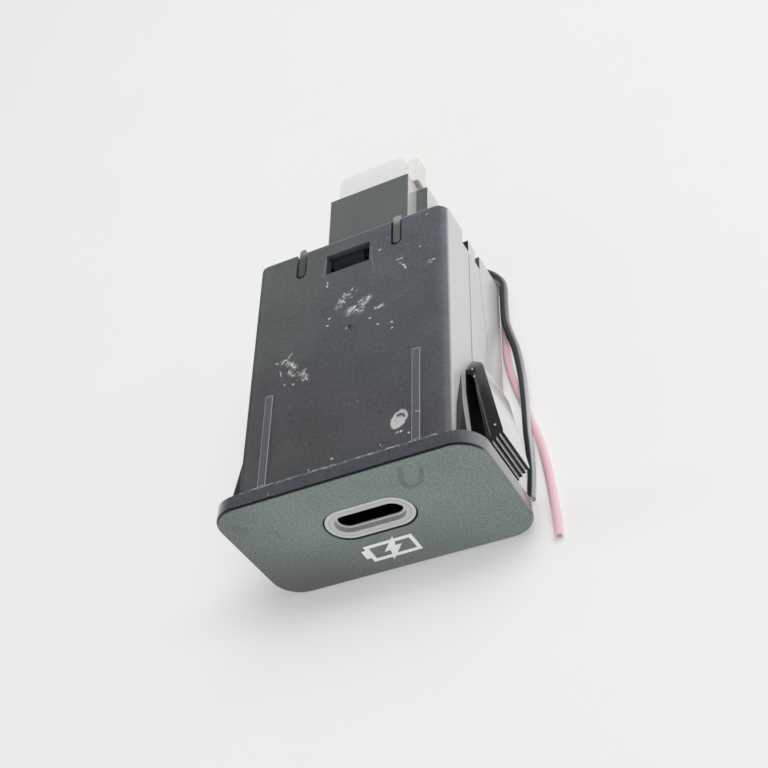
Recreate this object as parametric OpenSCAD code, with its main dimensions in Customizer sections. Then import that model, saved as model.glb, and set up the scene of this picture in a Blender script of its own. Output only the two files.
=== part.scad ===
// Dash-mounted USB-C charging socket with its mated harness plug and two cut wires.
// Lengths are in millimetres. X runs to the right seen from the front, Y rearward, Z up.
// Each sub-part is drawn from the centre of the bezel's front face, then set down on the floor.

/* [Housing] */
// Outer width of the sleeve
body_w = 27.5; // [25:0.25:31]
// Outer height of the sleeve
body_h = 18.3; // [16.5:0.1:21]
// Distance from the front face to the rear edge of the sleeve
body_end = 39.6; // [37:0.2:46]
// Wall of the sleeve
wall = 1.3; // [1.1:0.1:1.5]
// Radius of its long edges
body_r = 1.7; // [1:0.1:2]
// Distance of each guide rib from the side of the sleeve
guide_inset = 3.85; // [3:0.05:5]
// Width of a guide rib
guide_w = 1.1; // [0.8:0.1:1.6]
// Height of a guide rib
guide_h = 0.25; // [0.15:0.05:0.35]
// Length of a guide rib behind the bezel
guide_len = 14; // [8:1:20]
// Rounding of its rear corners
guide_r = 0.25; // [0.1:0.05:0.35]

/* [Bezel] */
// How far the front plate stands past the sleeve at each side
rim_side = 3.5; // [2.5:0.05:4.5]
// How far the front plate stands past the sleeve above and below
rim_top = 0.45; // [0.45:0.05:1.5]
// Thickness of the front plate
bezel_t = 2; // [1.8:0.1:2.3]
// Corner radius of the front plate
bezel_r = 3.7; // [2:0.1:4.5]
// Rounding of the front edge
bezel_edge = 0.4; // [0.2:0.05:0.7]
// Depth of the collar that snaps into the housing
collar_depth = 4; // [3.4:0.1:4.6]
// Wall of that collar
collar_wall = 1.2; // [0.9:0.1:1.4]
// Play between collar and housing, each side
collar_play = 0.1; // [0.05:0.05:0.2]
// Width of a snap bump on the collar
bump_w = 5; // [3:0.5:6]
// Distance of a snap bump from the middle
bump_x = 6.5; // [5.5:0.1:7]

/* [Snap wings] */
// Width of a wing
wing_w = 7.7; // [6:0.1:8.6]
// How far the crest of a wing stands off the sleeve
wing_reach = 4.3; // [3.8:0.1:5]
// Distance of the crest from the back of the bezel
wing_crest = 3; // [2.6:0.1:4.5]
// Distance of the root of the wing from the back of the bezel
wing_root = 16.4; // [15:0.2:18]
// Length of the tapered nose at the root
wing_nose = 3.1; // [2.4:0.1:3.6]
// Thickness of the spring arm near its root
wing_t = 1.6; // [1.3:0.1:1.9]
// Gap between the spring arm and the sleeve near its root
wing_gap = 0.9; // [0.6:0.1:1.1]
// Number of steps on the catch
wing_steps = 4; // [3:1:6]
// Depth of the catch along the part
catch_run = 1.6; // [1.2:0.1:1.8]
// Fall of the catch toward the sleeve
catch_fall = 1.7; // [1.3:0.1:1.9]
// Distance of the key fins below the top of the sleeve and above its bottom
fin_drop = 2.75; // [2.4:0.05:3.2]
// Thickness of a key fin at the bezel
fin_t = 1.4; // [0.9:0.1:1.8]
// How far a key fin stands off the sleeve at the bezel
fin_reach = 1.5; // [0.8:0.1:2]
// Length of a key fin
fin_len = 12; // [8:0.5:14]

/* [Port] */
// Height of the port above the middle of the bezel
port_z = 1.1; // [0.6:0.05:1.6]
// Width of the hole in the bezel
port_hole_w = 11.65; // [11:0.05:12.2]
// Height of the hole in the bezel
port_hole_h = 6.05; // [5.6:0.05:6.6]
// Gap between the hole and the ring, all round
ring_gap = 0.2; // [0.1:0.05:0.3]
// How deep the ring's face lies under the bezel's face
ring_sink = 0.1; // [0.05:0.05:0.4]
// How far the ring's flange stands past the hole at each end
flange_side = 1.9; // [1.6:0.1:2.4]
// How far the ring's flange stands past the hole above and below
flange_top = 0.5; // [0.4:0.1:0.8]
// Thickness of the ring's flange
flange_t = 1.1; // [0.8:0.1:1.3]
// Width of the ring's opening
throat_w = 8.95; // [8.6:0.05:9.05]
// Height of the ring's opening
throat_h = 3.3; // [2.95:0.05:3.4]
// Depth of the receptacle's front edge behind the bezel's face
shell_front = 0.75; // [0.65:0.05:1.4]
// Outer width of the receptacle shell
shell_w = 8.94; // [8.86:0.02:9.2]
// Outer height of the receptacle shell
shell_h = 3.26; // [3.22:0.02:3.5]
// Thickness of the shell's sheet
shell_t = 0.3; // [0.25:0.05:0.35]
// Length of the shell
shell_len = 7.3; // [6.8:0.1:8]
// Play of the shell in the ring
shell_play = 0.08; // [0.05:0.01:0.1]
// Width of a leg of the shell
leg_w = 1.1; // [0.8:0.1:1.4]
// Width of the receptacle's tongue
tongue_w = 6.69; // [6.6:0.01:6.8]
// Thickness of the tongue
tongue_t = 0.7; // [0.6:0.05:0.8]
// Distance between contacts
contact_pitch = 0.5; // [0.45:0.01:0.52]
// Width of a contact
contact_w = 0.24; // [0.2:0.01:0.3]

/* [Board] */
// Distance of the board's edges from the inside of the sleeve
board_edge = 0.85; // [0.6:0.05:1]
// Thickness of the circuit board
board_t = 1.6; // [1:0.1:1.8]
// Play of the board in its rails
board_play = 0.1; // [0.05:0.05:0.15]
// How far the rails stand into the sleeve
rail_reach = 1.6; // [1.3:0.1:1.8]
// Thickness of the rails above and below the board
rail_t = 1; // [0.8:0.1:1.4]
// Distance of the two rows of components from the board's edges
row_inset = 6; // [5.6:0.1:6.4]
// Distance between neighbouring components
row_gap = 1.5; // [0.8:0.1:1.6]
// Edge length of the inductor
choke_w = 6.6; // [6:0.1:7]
// Height of the inductor
choke_h = 3.2; // [2.8:0.1:4]
// Diameter of the input capacitor
can_d = 6.3; // [5:0.1:6.6]
// Height of the input capacitor's can
can_h = 5.4; // [4.5:0.1:5.8]
// Width of the surge diode
diode_w = 4.4; // [4:0.1:4.8]
// Length of the surge diode
diode_len = 3.6; // [3:0.1:4]
// Height of the surge diode
diode_h = 2.2; // [1.8:0.1:2.4]
// Width of the converter chip
chip_w = 5; // [4:0.1:5.4]
// Length of the converter chip
chip_len = 4.4; // [4:0.1:5]
// Height of the chips
chip_h = 0.9; // [0.7:0.05:1.1]
// Edge length of the charge controller
controller_w = 4; // [3.5:0.1:4.6]
// Edge length of a power switch
switch_w = 3.2; // [2.8:0.1:3.4]
// Length of a ceramic capacitor
ceramic_len = 2; // [1.6:0.1:2.2]
// Width and height of a ceramic capacitor
ceramic_w = 1.2; // [0.9:0.05:1.3]
// Length of a ring lamp
lamp_len = 2.8; // [2.4:0.1:3]
// Width and height of a ring lamp
lamp_w = 1.2; // [0.9:0.1:1.3]

/* [Rear cover and shroud] */
// Depth of the cover plate inside the sleeve's rear edge
cover_sink = 0.7; // [0.3:0.1:1]
// Thickness of the cover plate
cover_t = 2.5; // [2:0.1:2.7]
// Play of the cover in the sleeve, each side
cover_play = 0.1; // [0.05:0.05:0.15]
// Width of the hook window in the top and bottom
window_w = 6.2; // [5:0.1:7]
// Length of the hook window
window_len = 3.35; // [3:0.05:3.6]
// Distance of the hook window from the rear edge
window_back = 2.2; // [1.8:0.1:2.6]
// Play of the hook at the left of its window
hook_play = 0.5; // [0.3:0.1:0.8]
// Room at the right of the hook for the mould's core
hook_room = 1.2; // [0.6:0.1:1.6]
// Depth of the hook's crown under the sleeve's skin
hook_sink = 0.8; // [0.5:0.1:1]
// Distance of the two rear slots from the middle
slot_x = 6.9; // [6.2:0.1:7.6]
// Width of the rear slots
slot_w = 1.5; // [1.3:0.1:1.8]
// Length of the rear slots
slot_len = 4.5; // [4:0.1:5]
// Play between a slot and its guide tab, each side
tab_play = 0.27; // [0.15:0.01:0.3]
// How far the guide tabs stand past the rear edge
tab_past = 0.9; // [0.4:0.1:1.2]
// Lower end of the notch in the rear edge of each side
notch_low = -1.5; // [-2:0.1:-1.2]
// Width of that notch
notch_w = 5.3; // [4.6:0.1:5.8]
// Depth of that notch
notch_d = 2.3; // [2:0.1:2.6]
// Width of the side tab in the notch
side_tab_w = 2.1; // [1.6:0.1:2.4]
// Left side of the shroud
shroud_left = -3.3; // [-3.6:0.05:-2.9]
// Width of the shroud
shroud_w = 11.65; // [11:0.05:12.4]
// Height of the shroud
shroud_h = 9.4; // [8.6:0.1:10.4]
// Length of the shroud behind the sleeve
shroud_len = 8.6; // [7.8:0.1:9.6]
// Wall of the shroud
shroud_wall = 1.1; // [1:0.05:1.2]
// Radius of the shroud's long edges
shroud_r = 0.25; // [0.1:0.05:0.8]
// Distance of the shroud's top below the sleeve's top
shroud_drop = 0.3; // [0.1:0.1:0.6]
// Width of the keying rib on the shroud's right
key_w = 1.6; // [1.4:0.1:2.2]
// Height of the keying rib
key_h = 4.2; // [3.6:0.1:5]
// How far the keying rib ends before the shroud
key_short = 0.8; // [0.3:0.1:1.4]
// Thickness of a header pin
pin_w = 0.64; // [0.5:0.02:0.7]

/* [Plug and wires] */
// Length of the plug behind the shroud
plug_len = 5.1; // [4.6:0.1:8]
// How far the plug's rear stands past its nose, all round
plug_rim = 0.3; // [0.1:0.05:0.5]
// Gap between the shroud and the plug's rear
plug_seat = 0.2; // [0.1:0.05:0.4]
// Radius of the plug's rear corners
plug_corner = 1.2; // [0.4:0.1:1.4]
// Radius of the nose's long edges
plug_r = 0.3; // [0.1:0.05:0.6]
// Play of the plug in the shroud, each side
plug_play = 0.1; // [0.05:0.05:0.15]
// Width of a terminal
terminal_w = 1.5; // [1.3:0.05:1.6]
// Play of a terminal in its cell
cell_play = 0.2; // [0.1:0.05:0.25]
// Width of the lock nib under the plug
nib_w = 3; // [2:0.1:4]
// Length of the second lock along the plug
clip_len = 1.9; // [1.6:0.1:2.2]
// Thickness of the second lock
clip_t = 1.05; // [0.9:0.05:1.2]
// How far the head of the second lock stands off the plug
clip_head = 1.5; // [1.2:0.1:2.4]
// Height of that head
clip_head_h = 2.4; // [2.2:0.1:2.8]
// How far that head stands above the lock
clip_rise = 1.15; // [0.8:0.05:1.4]
// Distance of that head from the shroud
clip_gap = 0.5; // [0.3:0.1:1]
// Distance of that head from the plug's rear
clip_back = 0.1; // [0.1:0.1:1]
// Play of the second lock in the plug
clip_play = 0.05; // [0.03:0.01:0.1]
// Diameter of the wires over their insulation
wire_d = 1.2; // [1:0.1:1.3]

/* [Hidden] */
$fn = 48;
// How far a feature is sunk into the wall that carries it, and how far a cut runs past its wall.
sunk = 0.4;
past = 1;
side = body_w / 2;
top = body_h / 2;
inner_x = side - wall;
inner_z = top - wall;
bezel_w = body_w + 2 * rim_side;
bezel_h = body_h + 2 * rim_top;
floor_z = -bezel_h / 2;
collar_end = bezel_t + collar_depth;
collar_w = 2 * (inner_x - collar_play);
collar_h = 2 * (inner_z - collar_play);
bump_h = 0.4;
bump_len = 1.6;
crest_y = bezel_t + wing_crest;
root_y = bezel_t + wing_root;
fin_z = top - fin_drop;
fin_end = bezel_t + fin_len;
shell_end = shell_front + shell_len;
board_top = port_z - shell_h / 2;
board_low = board_top - board_t;
board_w = 2 * (inner_x - board_edge);
row_x = board_w / 2 - row_inset;
board_front = bezel_t + flange_t + 0.7;
legs_y = [board_front + leg_w / 2 + 0.6, shell_end - leg_w / 2 - 0.4];
nose_w = collar_w - 2 * collar_wall - 4;
cover_front = body_end - cover_sink - cover_t;
board_rear = cover_front - 0.6;
ring_end = bezel_t + flange_t + 0.3;
rear_seam = body_end + 0.1;
window_end = body_end - window_back;
window_front = window_end - window_len;
tab_front = body_end - slot_len + 0.4;
tab_end = body_end + tab_past;
shroud_end = body_end + shroud_len;
shroud_right = shroud_left + shroud_w;
shroud_mid_x = shroud_left + shroud_w / 2;
shroud_top = top - shroud_drop;
shroud_low = shroud_top - shroud_h;
shroud_mid_z = shroud_top - shroud_h / 2;
cav_left = shroud_left + shroud_wall;
cav_right = shroud_right - shroud_wall;
cav_low = shroud_low + shroud_wall;
cav_high = shroud_top - shroud_wall;
key_right = shroud_right + key_w;
key_wall = 0.7;
key_slot = key_h / 2 - 1;
pins = 4;
pin_pitch = (cav_right - cav_left - 3) / (pins - 1);
pin_at = [for (i = [0 : pins - 1]) cav_left + 1.5 + i * pin_pitch];
pin_z = shroud_mid_z;
pin_bend = board_rear - 2;
pin_tip = shroud_end - 3;
plug_nose = body_end + 2;
overall = shroud_end + plug_len;
plug_left = cav_left + plug_play;
plug_right = cav_right - plug_play;
plug_low = cav_low + plug_play;
plug_top = cav_high - plug_play;
cell_w = terminal_w + cell_play;
cell_low = pin_z - cell_w / 2;
terminal_mid = cell_low + terminal_w / 2;
terminal_end = shroud_end + 0.8;
crimp_end = terminal_end + 2.1;
clip_front = shroud_end + 1.2;
clip_low = cell_low + cell_w - 0.2;
plug_wall = 1.6;
plug_mid_x = (plug_left + plug_right) / 2;
plug_side = plug_right + plug_rim;
clip_top = clip_low + clip_t + clip_rise;
nib_y = shroud_end - 3.4;
nib_len = 1.4;
nib_play = 0.2;
diode_y = pin_bend - 1 - row_gap - diode_len / 2;
chip_y = diode_y - diode_len / 2 - row_gap - chip_len / 2;
choke_y = chip_y - chip_len / 2 - row_gap - choke_w / 2;
can_base = can_d + 0.3;
controller_y = choke_y - choke_w / 2;
switch_y = (controller_y + controller_w / 2 + chip_y - can_base / 2) / 2;
wire_z = floor_z + wire_d / 2 + 0.03;
over_z = wire_z + 1.05 * wire_d;

// Moves a sub-part from the bezel's face to the floor, centred over its length.
module set_down() {
    translate([0, -overall / 2, -floor_z])
        children();
}

// A block between two corners.
module block(a, b) {
    translate(a)
        cube(b - a);
}

// Extrudes an X-Z outline along Y.
module along_y(y0, y1) {
    translate([0, y1, 0])
        rotate([90, 0, 0])
            linear_extrude(y1 - y0)
                children();
}

// Extrudes a Y-Z outline along X.
module along_x(x0, x1) {
    translate([x0, 0, 0])
        rotate([90, 0, 90])
            linear_extrude(x1 - x0)
                children();
}

// Extrudes an X-Y outline along Z.
module along_z(z0, z1) {
    translate([0, 0, z0])
        linear_extrude(z1 - z0)
            children();
}

// Outline with round ends.
module stadium(w, h) {
    square([w - h, h], center = true);
    for (s = [-1, 1])
        translate([s * (w - h) / 2, 0])
            circle(d = h);
}

// Rectangle with round corners.
module round_rect(w, h, r) {
    square([w - 2 * r, h], center = true);
    square([w, h - 2 * r], center = true);
    for (sx = [-1, 1], sy = [-1, 1])
        translate([sx * (w / 2 - r), sy * (h / 2 - r)])
            circle(r);
}

// A copy on each side of the middle plane.
module both_sides() {
    children();
    mirror([1, 0, 0])
        children();
}

// A copy above and below a given height.
module above_below(z = 0) {
    translate([0, 0, z]) {
        children();
        mirror([0, 0, 1])
            children();
    }
}

// Half section of the plate's rim, whose front edge is rounded.
module rim_section(reach) {
    e = bezel_edge;
    translate([0, e])
        square([reach, bezel_t - e]);
    square([reach - e, bezel_t]);
    translate([reach - e, e])
        circle(e);
}

// Front plate with a rounded front edge.
module front_plate() {
    flat_x = bezel_w / 2 - bezel_r;
    flat_z = bezel_h / 2 - bezel_r;
    for (sx = [-1, 1], sz = [-1, 1])
        translate([sx * flat_x, 0, sz * flat_z])
            rotate([-90, 0, 0])
                rotate_extrude()
                    rim_section(bezel_r);
    along_x(-flat_x, flat_x)
        for (s = [0, 1])
            mirror([0, s])
                rotate(90)
                    mirror([0, 1])
                        rim_section(bezel_h / 2);
    along_z(-flat_z, flat_z)
        for (s = [0, 1])
            mirror([s, 0])
                rim_section(bezel_w / 2);
}

// Bezel: front plate, with a collar and four snap bumps behind it.
module bezel() {
    color([0.36, 0.39, 0.38])
        difference() {
            union() {
                front_plate();
                difference() {
                    along_y(bezel_t - sunk, collar_end)
                        round_rect(collar_w, collar_h, 0.6);
                    along_y(bezel_t, collar_end + past)
                        round_rect(collar_w - 2 * collar_wall, collar_h - 2 * collar_wall, 0.4);
                }
                above_below()
                    both_sides()
                        along_x(bump_x - bump_w / 2, bump_x + bump_w / 2)
                            translate([collar_end, collar_h / 2])
                                polygon([[-bump_len, -sunk], [-bump_len, bump_h],
                                    [-bump_len / 2, bump_h], [0, -sunk]]);
            }
            translate([0, 0, port_z])
                along_y(-past, bezel_t + past)
                    stadium(port_hole_w, port_hole_h);
        }
}

// Grey ring in the bezel's hole: a light guide with a flange behind the plate.
module port_ring() {
    color([0.72, 0.72, 0.72])
        translate([0, 0, port_z])
            difference() {
                union() {
                    along_y(ring_sink, ring_end)
                        stadium(port_hole_w - 2 * ring_gap, port_hole_h - 2 * ring_gap);
                    along_y(bezel_t, bezel_t + flange_t)
                        round_rect(port_hole_w + 2 * flange_side, port_hole_h + 2 * flange_top, 1);
                }
                along_y(-past, shell_front)
                    stadium(throat_w, throat_h);
                along_y(shell_front, ring_end + past)
                    stadium(shell_w + 2 * shell_play, shell_h + 2 * shell_play);
            }
}

// Plan of a wing, measured outward from the sleeve's side: root, arm and stepped catch.
module wing_plan() {
    shoulder = root_y - wing_nose / 2;
    front = crest_y - catch_run;
    inner = wing_reach - catch_fall - 0.3;
    catch = [for (i = [0 : wing_steps - 1], k = [0, 1])
        [wing_reach - catch_fall * i / wing_steps, crest_y - catch_run * (i + k) / wing_steps]];
    polygon(concat(
        [[-sunk, root_y], [0, root_y], [wing_t, shoulder], [wing_t + 0.6, shoulder - 1.3]],
        catch,
        [[wing_reach - catch_fall, front], [inner, front + 0.4], [wing_gap, shoulder - 2.9],
            [wing_gap / 2, shoulder - 2.3], [-sunk, shoulder - 2]]));
}

// Spring wing on the right side, narrower at its root.
module wing() {
    half = wing_w / 2;
    waist = wing_w / 4;
    intersection() {
        translate([side, 0, 0])
            along_z(-half - past, half + past)
                wing_plan();
        along_x(side - past, side + wing_reach + past)
            polygon([[root_y, waist], [root_y - wing_nose, half], [0, half],
                [0, -half], [root_y - wing_nose, -half], [root_y, -waist]]);
    }
}

// Tapered key fin above the wing, on the right side only, which bends down to its rear end.
module fin() {
    low = fin_z - fin_t / 2;
    intersection() {
        translate([side, 0, 0])
            along_z(0, top)
                polygon([[-sunk, bezel_t], [fin_reach, bezel_t], [0, fin_end], [-sunk, fin_end]]);
        along_x(side - past, side + fin_reach + past)
            polygon([[bezel_t, fin_z + fin_t / 2], [fin_end - fin_len / 2, fin_z + 0.3], [fin_end, low - 0.4],
                [fin_end, low - 1.1], [bezel_t, low]]);
    }
}

// Rail inside the right side that holds the edge of the board.
module rail() {
    difference() {
        block([inner_x - rail_reach, collar_end + 0.6, board_low - rail_t],
            [inner_x + wall / 4, cover_front, board_top + rail_t]);
        block([inner_x - rail_reach - past, collar_end, board_low],
            [board_w / 2 + board_play, cover_front + past, board_top + board_play]);
    }
}

// Guide rib on the right of the top, with rounded rear corners.
module guide_rib() {
    x = side - guide_inset;
    along_z(top - sunk, top + guide_h) {
        translate([x - guide_w / 2, bezel_t])
            square([guide_w, guide_len / 2]);
        translate([x, bezel_t + guide_len / 2])
            round_rect(guide_w, guide_len, guide_r);
    }
}

// Slot in the rear edge of the top, with a round front end.
module rear_slot() {
    mouth = body_end - slot_len + slot_w / 2;
    along_z(inner_z - past / 2, top + past) {
        translate([slot_x - slot_w / 2, mouth])
            square([slot_w, slot_len]);
        translate([slot_x, mouth])
            circle(d = slot_w);
    }
}

// Black sleeve: four walls, two spring wings, two key fins, guide ribs, rails and the cover's openings.
module housing() {
    pocket = bump_w / 2 + 0.2;
    color([0.08, 0.09, 0.1])
        difference() {
            union() {
                difference() {
                    along_y(bezel_t, body_end)
                        round_rect(body_w, body_h, body_r);
                    along_y(bezel_t - past, body_end + past)
                        round_rect(2 * inner_x, 2 * inner_z, 0.6);
                }
                above_below()
                    fin();
                both_sides() {
                    wing();
                    rail();
                    above_below()
                        guide_rib();
                }
            }
            above_below() {
                block([-window_w / 2, window_front, inner_z - past], [window_w / 2, window_end, top + past]);
                both_sides() {
                    rear_slot();
                    block([bump_x - pocket, collar_end - bump_len - 0.1, inner_z - past / 4],
                        [bump_x + pocket, collar_end - 0.2, inner_z + bump_h]);
                }
            }
            both_sides()
                block([inner_x - past / 4, body_end - notch_d, notch_low],
                    [side + past, body_end + past, notch_low + notch_w]);
        }
}

// Snap hook of the cover in the top window.
module hook(plate_top) {
    left = hook_play - window_w / 2;
    right = window_w / 2 - hook_room;
    crown = top - hook_sink;
    root = plate_top - 0.6;
    back = window_end - 0.2;
    block([left, window_front - 0.2, plate_top - 1.2], [right, cover_front + past, plate_top - 0.2]);
    along_x(left, right)
        polygon([[window_front + 0.5, root], [back - 1, crown], [back, crown], [back, root]]);
}

// Black cover: plate in the sleeve, hooks in the windows, tabs in the slots and notches, shroud behind.
module rear_cover() {
    plate_x = inner_x - cover_play;
    plate_top = inner_z - cover_play;
    tab_w = slot_w - 2 * tab_play;
    side_tab = notch_low + notch_w - 2 - side_tab_w;
    pin_half = pin_w / 2;
    color([0.1, 0.11, 0.11])
        difference() {
            union() {
                along_y(cover_front, cover_front + cover_t)
                    round_rect(2 * plate_x, 2 * plate_top, 0.5);
                above_below() {
                    hook(plate_top);
                    both_sides()
                        along_z(plate_top - past, top - 0.15)
                            translate([slot_x, (tab_front + tab_end) / 2])
                                rotate(90)
                                    stadium(tab_end - tab_front, tab_w);
                }
                both_sides()
                    block([plate_x - past, body_end - notch_d + 0.2, side_tab],
                        [side - 0.1, body_end, side_tab + side_tab_w]);
                block([shroud_left, cover_front + past, shroud_low],
                    [shroud_right, rear_seam + past, plate_top]);
                translate([shroud_mid_x, 0, shroud_mid_z])
                    along_y(rear_seam, shroud_end)
                        round_rect(shroud_w, shroud_h, shroud_r);
                block([shroud_right - shroud_wall / 2, rear_seam, pin_z - key_h / 2],
                    [key_right, shroud_end - key_short, pin_z + key_h / 2]);
            }
            block([cav_left, plug_nose - 0.8, cav_low], [cav_right, shroud_end + past, cav_high]);
            block([cav_right - past, plug_nose - 0.8, pin_z - key_slot],
                [key_right - key_wall, shroud_end + past, pin_z + key_slot]);
            block([shroud_mid_x - nib_w / 2 - nib_play, nib_y - nib_play, shroud_low - past],
                [shroud_mid_x + nib_w / 2 + nib_play, nib_y + nib_len + nib_play, cav_low + past]);
            for (x = pin_at)
                block([x - pin_half, cover_front - past, pin_z - pin_half],
                    [x + pin_half, plug_nose, pin_z + pin_half]);
        }
}

// Circuit board, narrower at the front where it reaches into the bezel's collar.
module circuit_board() {
    slot = leg_w / 2 + board_play;
    color([0.05, 0.3, 0.17])
        difference() {
            union() {
                block([-board_w / 2, collar_end + 0.8, board_low], [board_w / 2, board_rear, board_top]);
                block([-nose_w / 2, board_front, board_low],
                    [nose_w / 2, collar_end + 0.8 + past, board_top]);
            }
            for (x = pin_at)
                translate([x, pin_bend, board_low - past])
                    cylinder(d = pin_w * 1.6, h = board_t + 2 * past);
            both_sides()
                for (y = legs_y)
                    block([shell_w / 2 - shell_t - board_play, y - slot, board_low - past],
                        [shell_w / 2 + board_play, y + slot, board_top + past]);
        }
}

// Steel shell of the receptacle, with four legs through the board.
module usb_shell() {
    color([0.75, 0.76, 0.78])
        union() {
            translate([0, 0, port_z])
                difference() {
                    along_y(shell_front, shell_end)
                        stadium(shell_w, shell_h);
                    along_y(shell_front - past, shell_end + past)
                        stadium(shell_w - 2 * shell_t, shell_h - 2 * shell_t);
                }
            both_sides()
                for (y = legs_y)
                    block([shell_w / 2 - shell_t, y - leg_w / 2, board_low - 0.4],
                        [shell_w / 2, y + leg_w / 2, port_z]);
        }
}

// Insulator of the receptacle: the block in the shell's rear and the tongue in front of it.
module usb_tongue() {
    color([0.06, 0.06, 0.07])
        translate([0, 0, port_z])
            union() {
                along_y(shell_end - 1.8, shell_end)
                    stadium(shell_w - 2 * shell_t, shell_h - 2 * shell_t);
                along_y(shell_front + 0.9, shell_end - past)
                    stadium(tongue_w, tongue_t);
            }
}

// Twelve contacts on each face of the tongue and their tails on the board.
module usb_contacts() {
    half = contact_w / 2;
    face = tongue_t / 2;
    color([0.85, 0.68, 0.32])
        for (i = [-5.5 : 1 : 5.5])
            translate([i * contact_pitch, 0, 0]) {
                above_below(port_z)
                    block([-half, shell_front + 1.5, face], [half, shell_end - 1.8, face + 0.08]);
                block([-half, shell_end, board_top], [half, shell_end + 0.8, board_top + 0.15]);
            }
}

// Four bent pins from the board through the cover into the shroud, each with its solder collar.
module header_pins() {
    half = pin_w / 2;
    color([0.8, 0.79, 0.72])
        for (x = pin_at)
            union() {
                block([x - half, pin_bend - half, pin_z - half], [x + half, pin_tip, pin_z + half]);
                block([x - half, pin_bend - half, board_low - 0.8], [x + half, pin_bend + half, pin_z]);
                translate([x, pin_bend, board_top])
                    cylinder(d = 2.4 * pin_w, h = pin_w / 2);
            }
}

// Stands a component on the board.
module on_board(x, y) {
    translate([x, y, board_top])
        children();
}

// Shielded power inductor.
module power_inductor() {
    color([0.2, 0.2, 0.21])
        on_board(row_x, choke_y)
            linear_extrude(choke_h)
                round_rect(choke_w, choke_w, choke_w / 6);
}

// Aluminium can capacitor on a square base.
module input_capacitor() {
    color([0.8, 0.81, 0.82])
        on_board(-row_x, chip_y)
            union() {
                linear_extrude(can_h / 7)
                    round_rect(can_base, can_base, can_base / 8);
                cylinder(d = can_d, h = can_h);
            }
}

// Surge diode near the header, with a flat lead at each end.
module surge_diode() {
    color([0.1, 0.1, 0.1])
        on_board(row_x, diode_y)
            union() {
                linear_extrude(diode_h)
                    round_rect(diode_w, diode_len, diode_len / 12);
                linear_extrude(diode_h / 5)
                    square([diode_w + 1, diode_len / 2], center = true);
            }
}

// Step-down converter chip.
module converter_chip() {
    color([0.08, 0.08, 0.09])
        on_board(row_x, chip_y)
            linear_extrude(chip_h)
                square([chip_w, chip_len], center = true);
}

// Chip that agrees the charging current with the device.
module charge_controller() {
    color([0.08, 0.08, 0.09])
        on_board(-row_x, controller_y)
            linear_extrude(chip_h)
                square(controller_w, center = true);
}

// Two power switches between the charge controller and the input capacitor.
module power_switches() {
    color([0.1, 0.1, 0.1])
        for (s = [-1, 1])
            on_board(-row_x + s * (switch_w / 2 + 0.3), switch_y)
                linear_extrude(chip_h)
                    square(switch_w, center = true);
}

// Four ceramic capacitors between the converter chip and the input capacitor.
module ceramic_capacitors() {
    color([0.62, 0.5, 0.38])
        for (i = [-1.5 : 1 : 1.5])
            on_board((can_base - chip_w) / 4, chip_y + i * (ceramic_w + 0.4))
                linear_extrude(ceramic_w)
                    square([ceramic_len, ceramic_w], center = true);
}

// Two side-view lamps behind the ring's flange.
module ring_leds() {
    color([0.95, 0.93, 0.85])
        both_sides()
            on_board(shell_w / 2 + lamp_len / 2 + 1.1, board_front + lamp_w / 2 + 0.2)
                linear_extrude(lamp_w)
                    square([lamp_len, lamp_w], center = true);
}

// Rear of the plug behind the shroud, with rounded rear corners.
module plug_rear() {
    w = 2 * (plug_side - plug_mid_x);
    run = plug_len - plug_seat;
    translate([plug_mid_x, overall - run, 0])
        along_z(plug_low - plug_rim, plug_top + plug_rim) {
            translate([-w / 2, 0])
                square([w, run / 2]);
            translate([0, run / 2])
                round_rect(w, run, plug_corner);
        }
}

// White harness plug: nose and rear, keying rib, lock nib, four wire cells and the second lock's slot.
module plug_housing() {
    hole = pin_w / 2 + 0.18;
    color([0.93, 0.93, 0.9])
        difference() {
            union() {
                plug_rear();
                translate([plug_mid_x, 0, (plug_low + plug_top) / 2])
                    along_y(plug_nose, shroud_end + past)
                        round_rect(plug_right - plug_left, plug_top - plug_low, plug_r);
                block([plug_right - past, plug_nose, pin_z - key_slot + plug_play],
                    [key_right - key_wall - plug_play, shroud_end - key_short, pin_z + key_slot - plug_play]);
                along_x(shroud_mid_x - nib_w / 2, shroud_mid_x + nib_w / 2)
                    polygon([[nib_y, cav_low + sunk], [nib_y, cav_low],
                        [nib_y + nib_len / 2, shroud_low + 0.3],
                        [nib_y + nib_len, shroud_low + 0.3], [nib_y + nib_len, cav_low + sunk]]);
            }
            for (x = pin_at) {
                block([x - cell_w / 2, plug_nose + 0.8, cell_low],
                    [x + cell_w / 2, overall + past, cell_low + cell_w]);
                block([x - hole, plug_nose - past, pin_z - hole], [x + hole, plug_nose + past, pin_z + hole]);
            }
            block([plug_left + plug_wall - clip_play, clip_front - clip_play, clip_low - clip_play],
                [plug_side + past, clip_front + clip_len + clip_play, clip_low + clip_t + clip_play]);
        }
}

// Crimp terminals on the two wires: box round the pin, barrel round the wire's end.
module plug_terminals() {
    half = terminal_w / 2;
    hole = pin_w / 2 + 0.02;
    color([0.78, 0.76, 0.7])
        for (x = [pin_at[1], pin_at[2]])
            union() {
                difference() {
                    block([x - half, plug_nose + 0.9, cell_low],
                        [x + half, terminal_end, cell_low + terminal_w]);
                    block([x - hole, plug_nose, cell_low + 0.25],
                        [x + hole, pin_tip + 1.4, pin_z + pin_w / 2]);
                }
                translate([x, terminal_end - 0.2, terminal_mid])
                    rotate([-90, 0, 0])
                        cylinder(d = terminal_w - 0.1, h = crimp_end - terminal_end + 0.2);
            }
}

// Second lock pushed into the plug's right side over the terminals, with a head outside.
module plug_retainer() {
    color([0.9, 0.87, 0.72])
        union() {
            block([plug_left + plug_wall, clip_front, clip_low],
                [plug_side + sunk, clip_front + clip_len, clip_low + clip_t]);
            block([plug_side, shroud_end + clip_gap, clip_top - clip_head_h],
                [plug_side + clip_head, overall - clip_back, clip_top]);
        }
}

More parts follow.
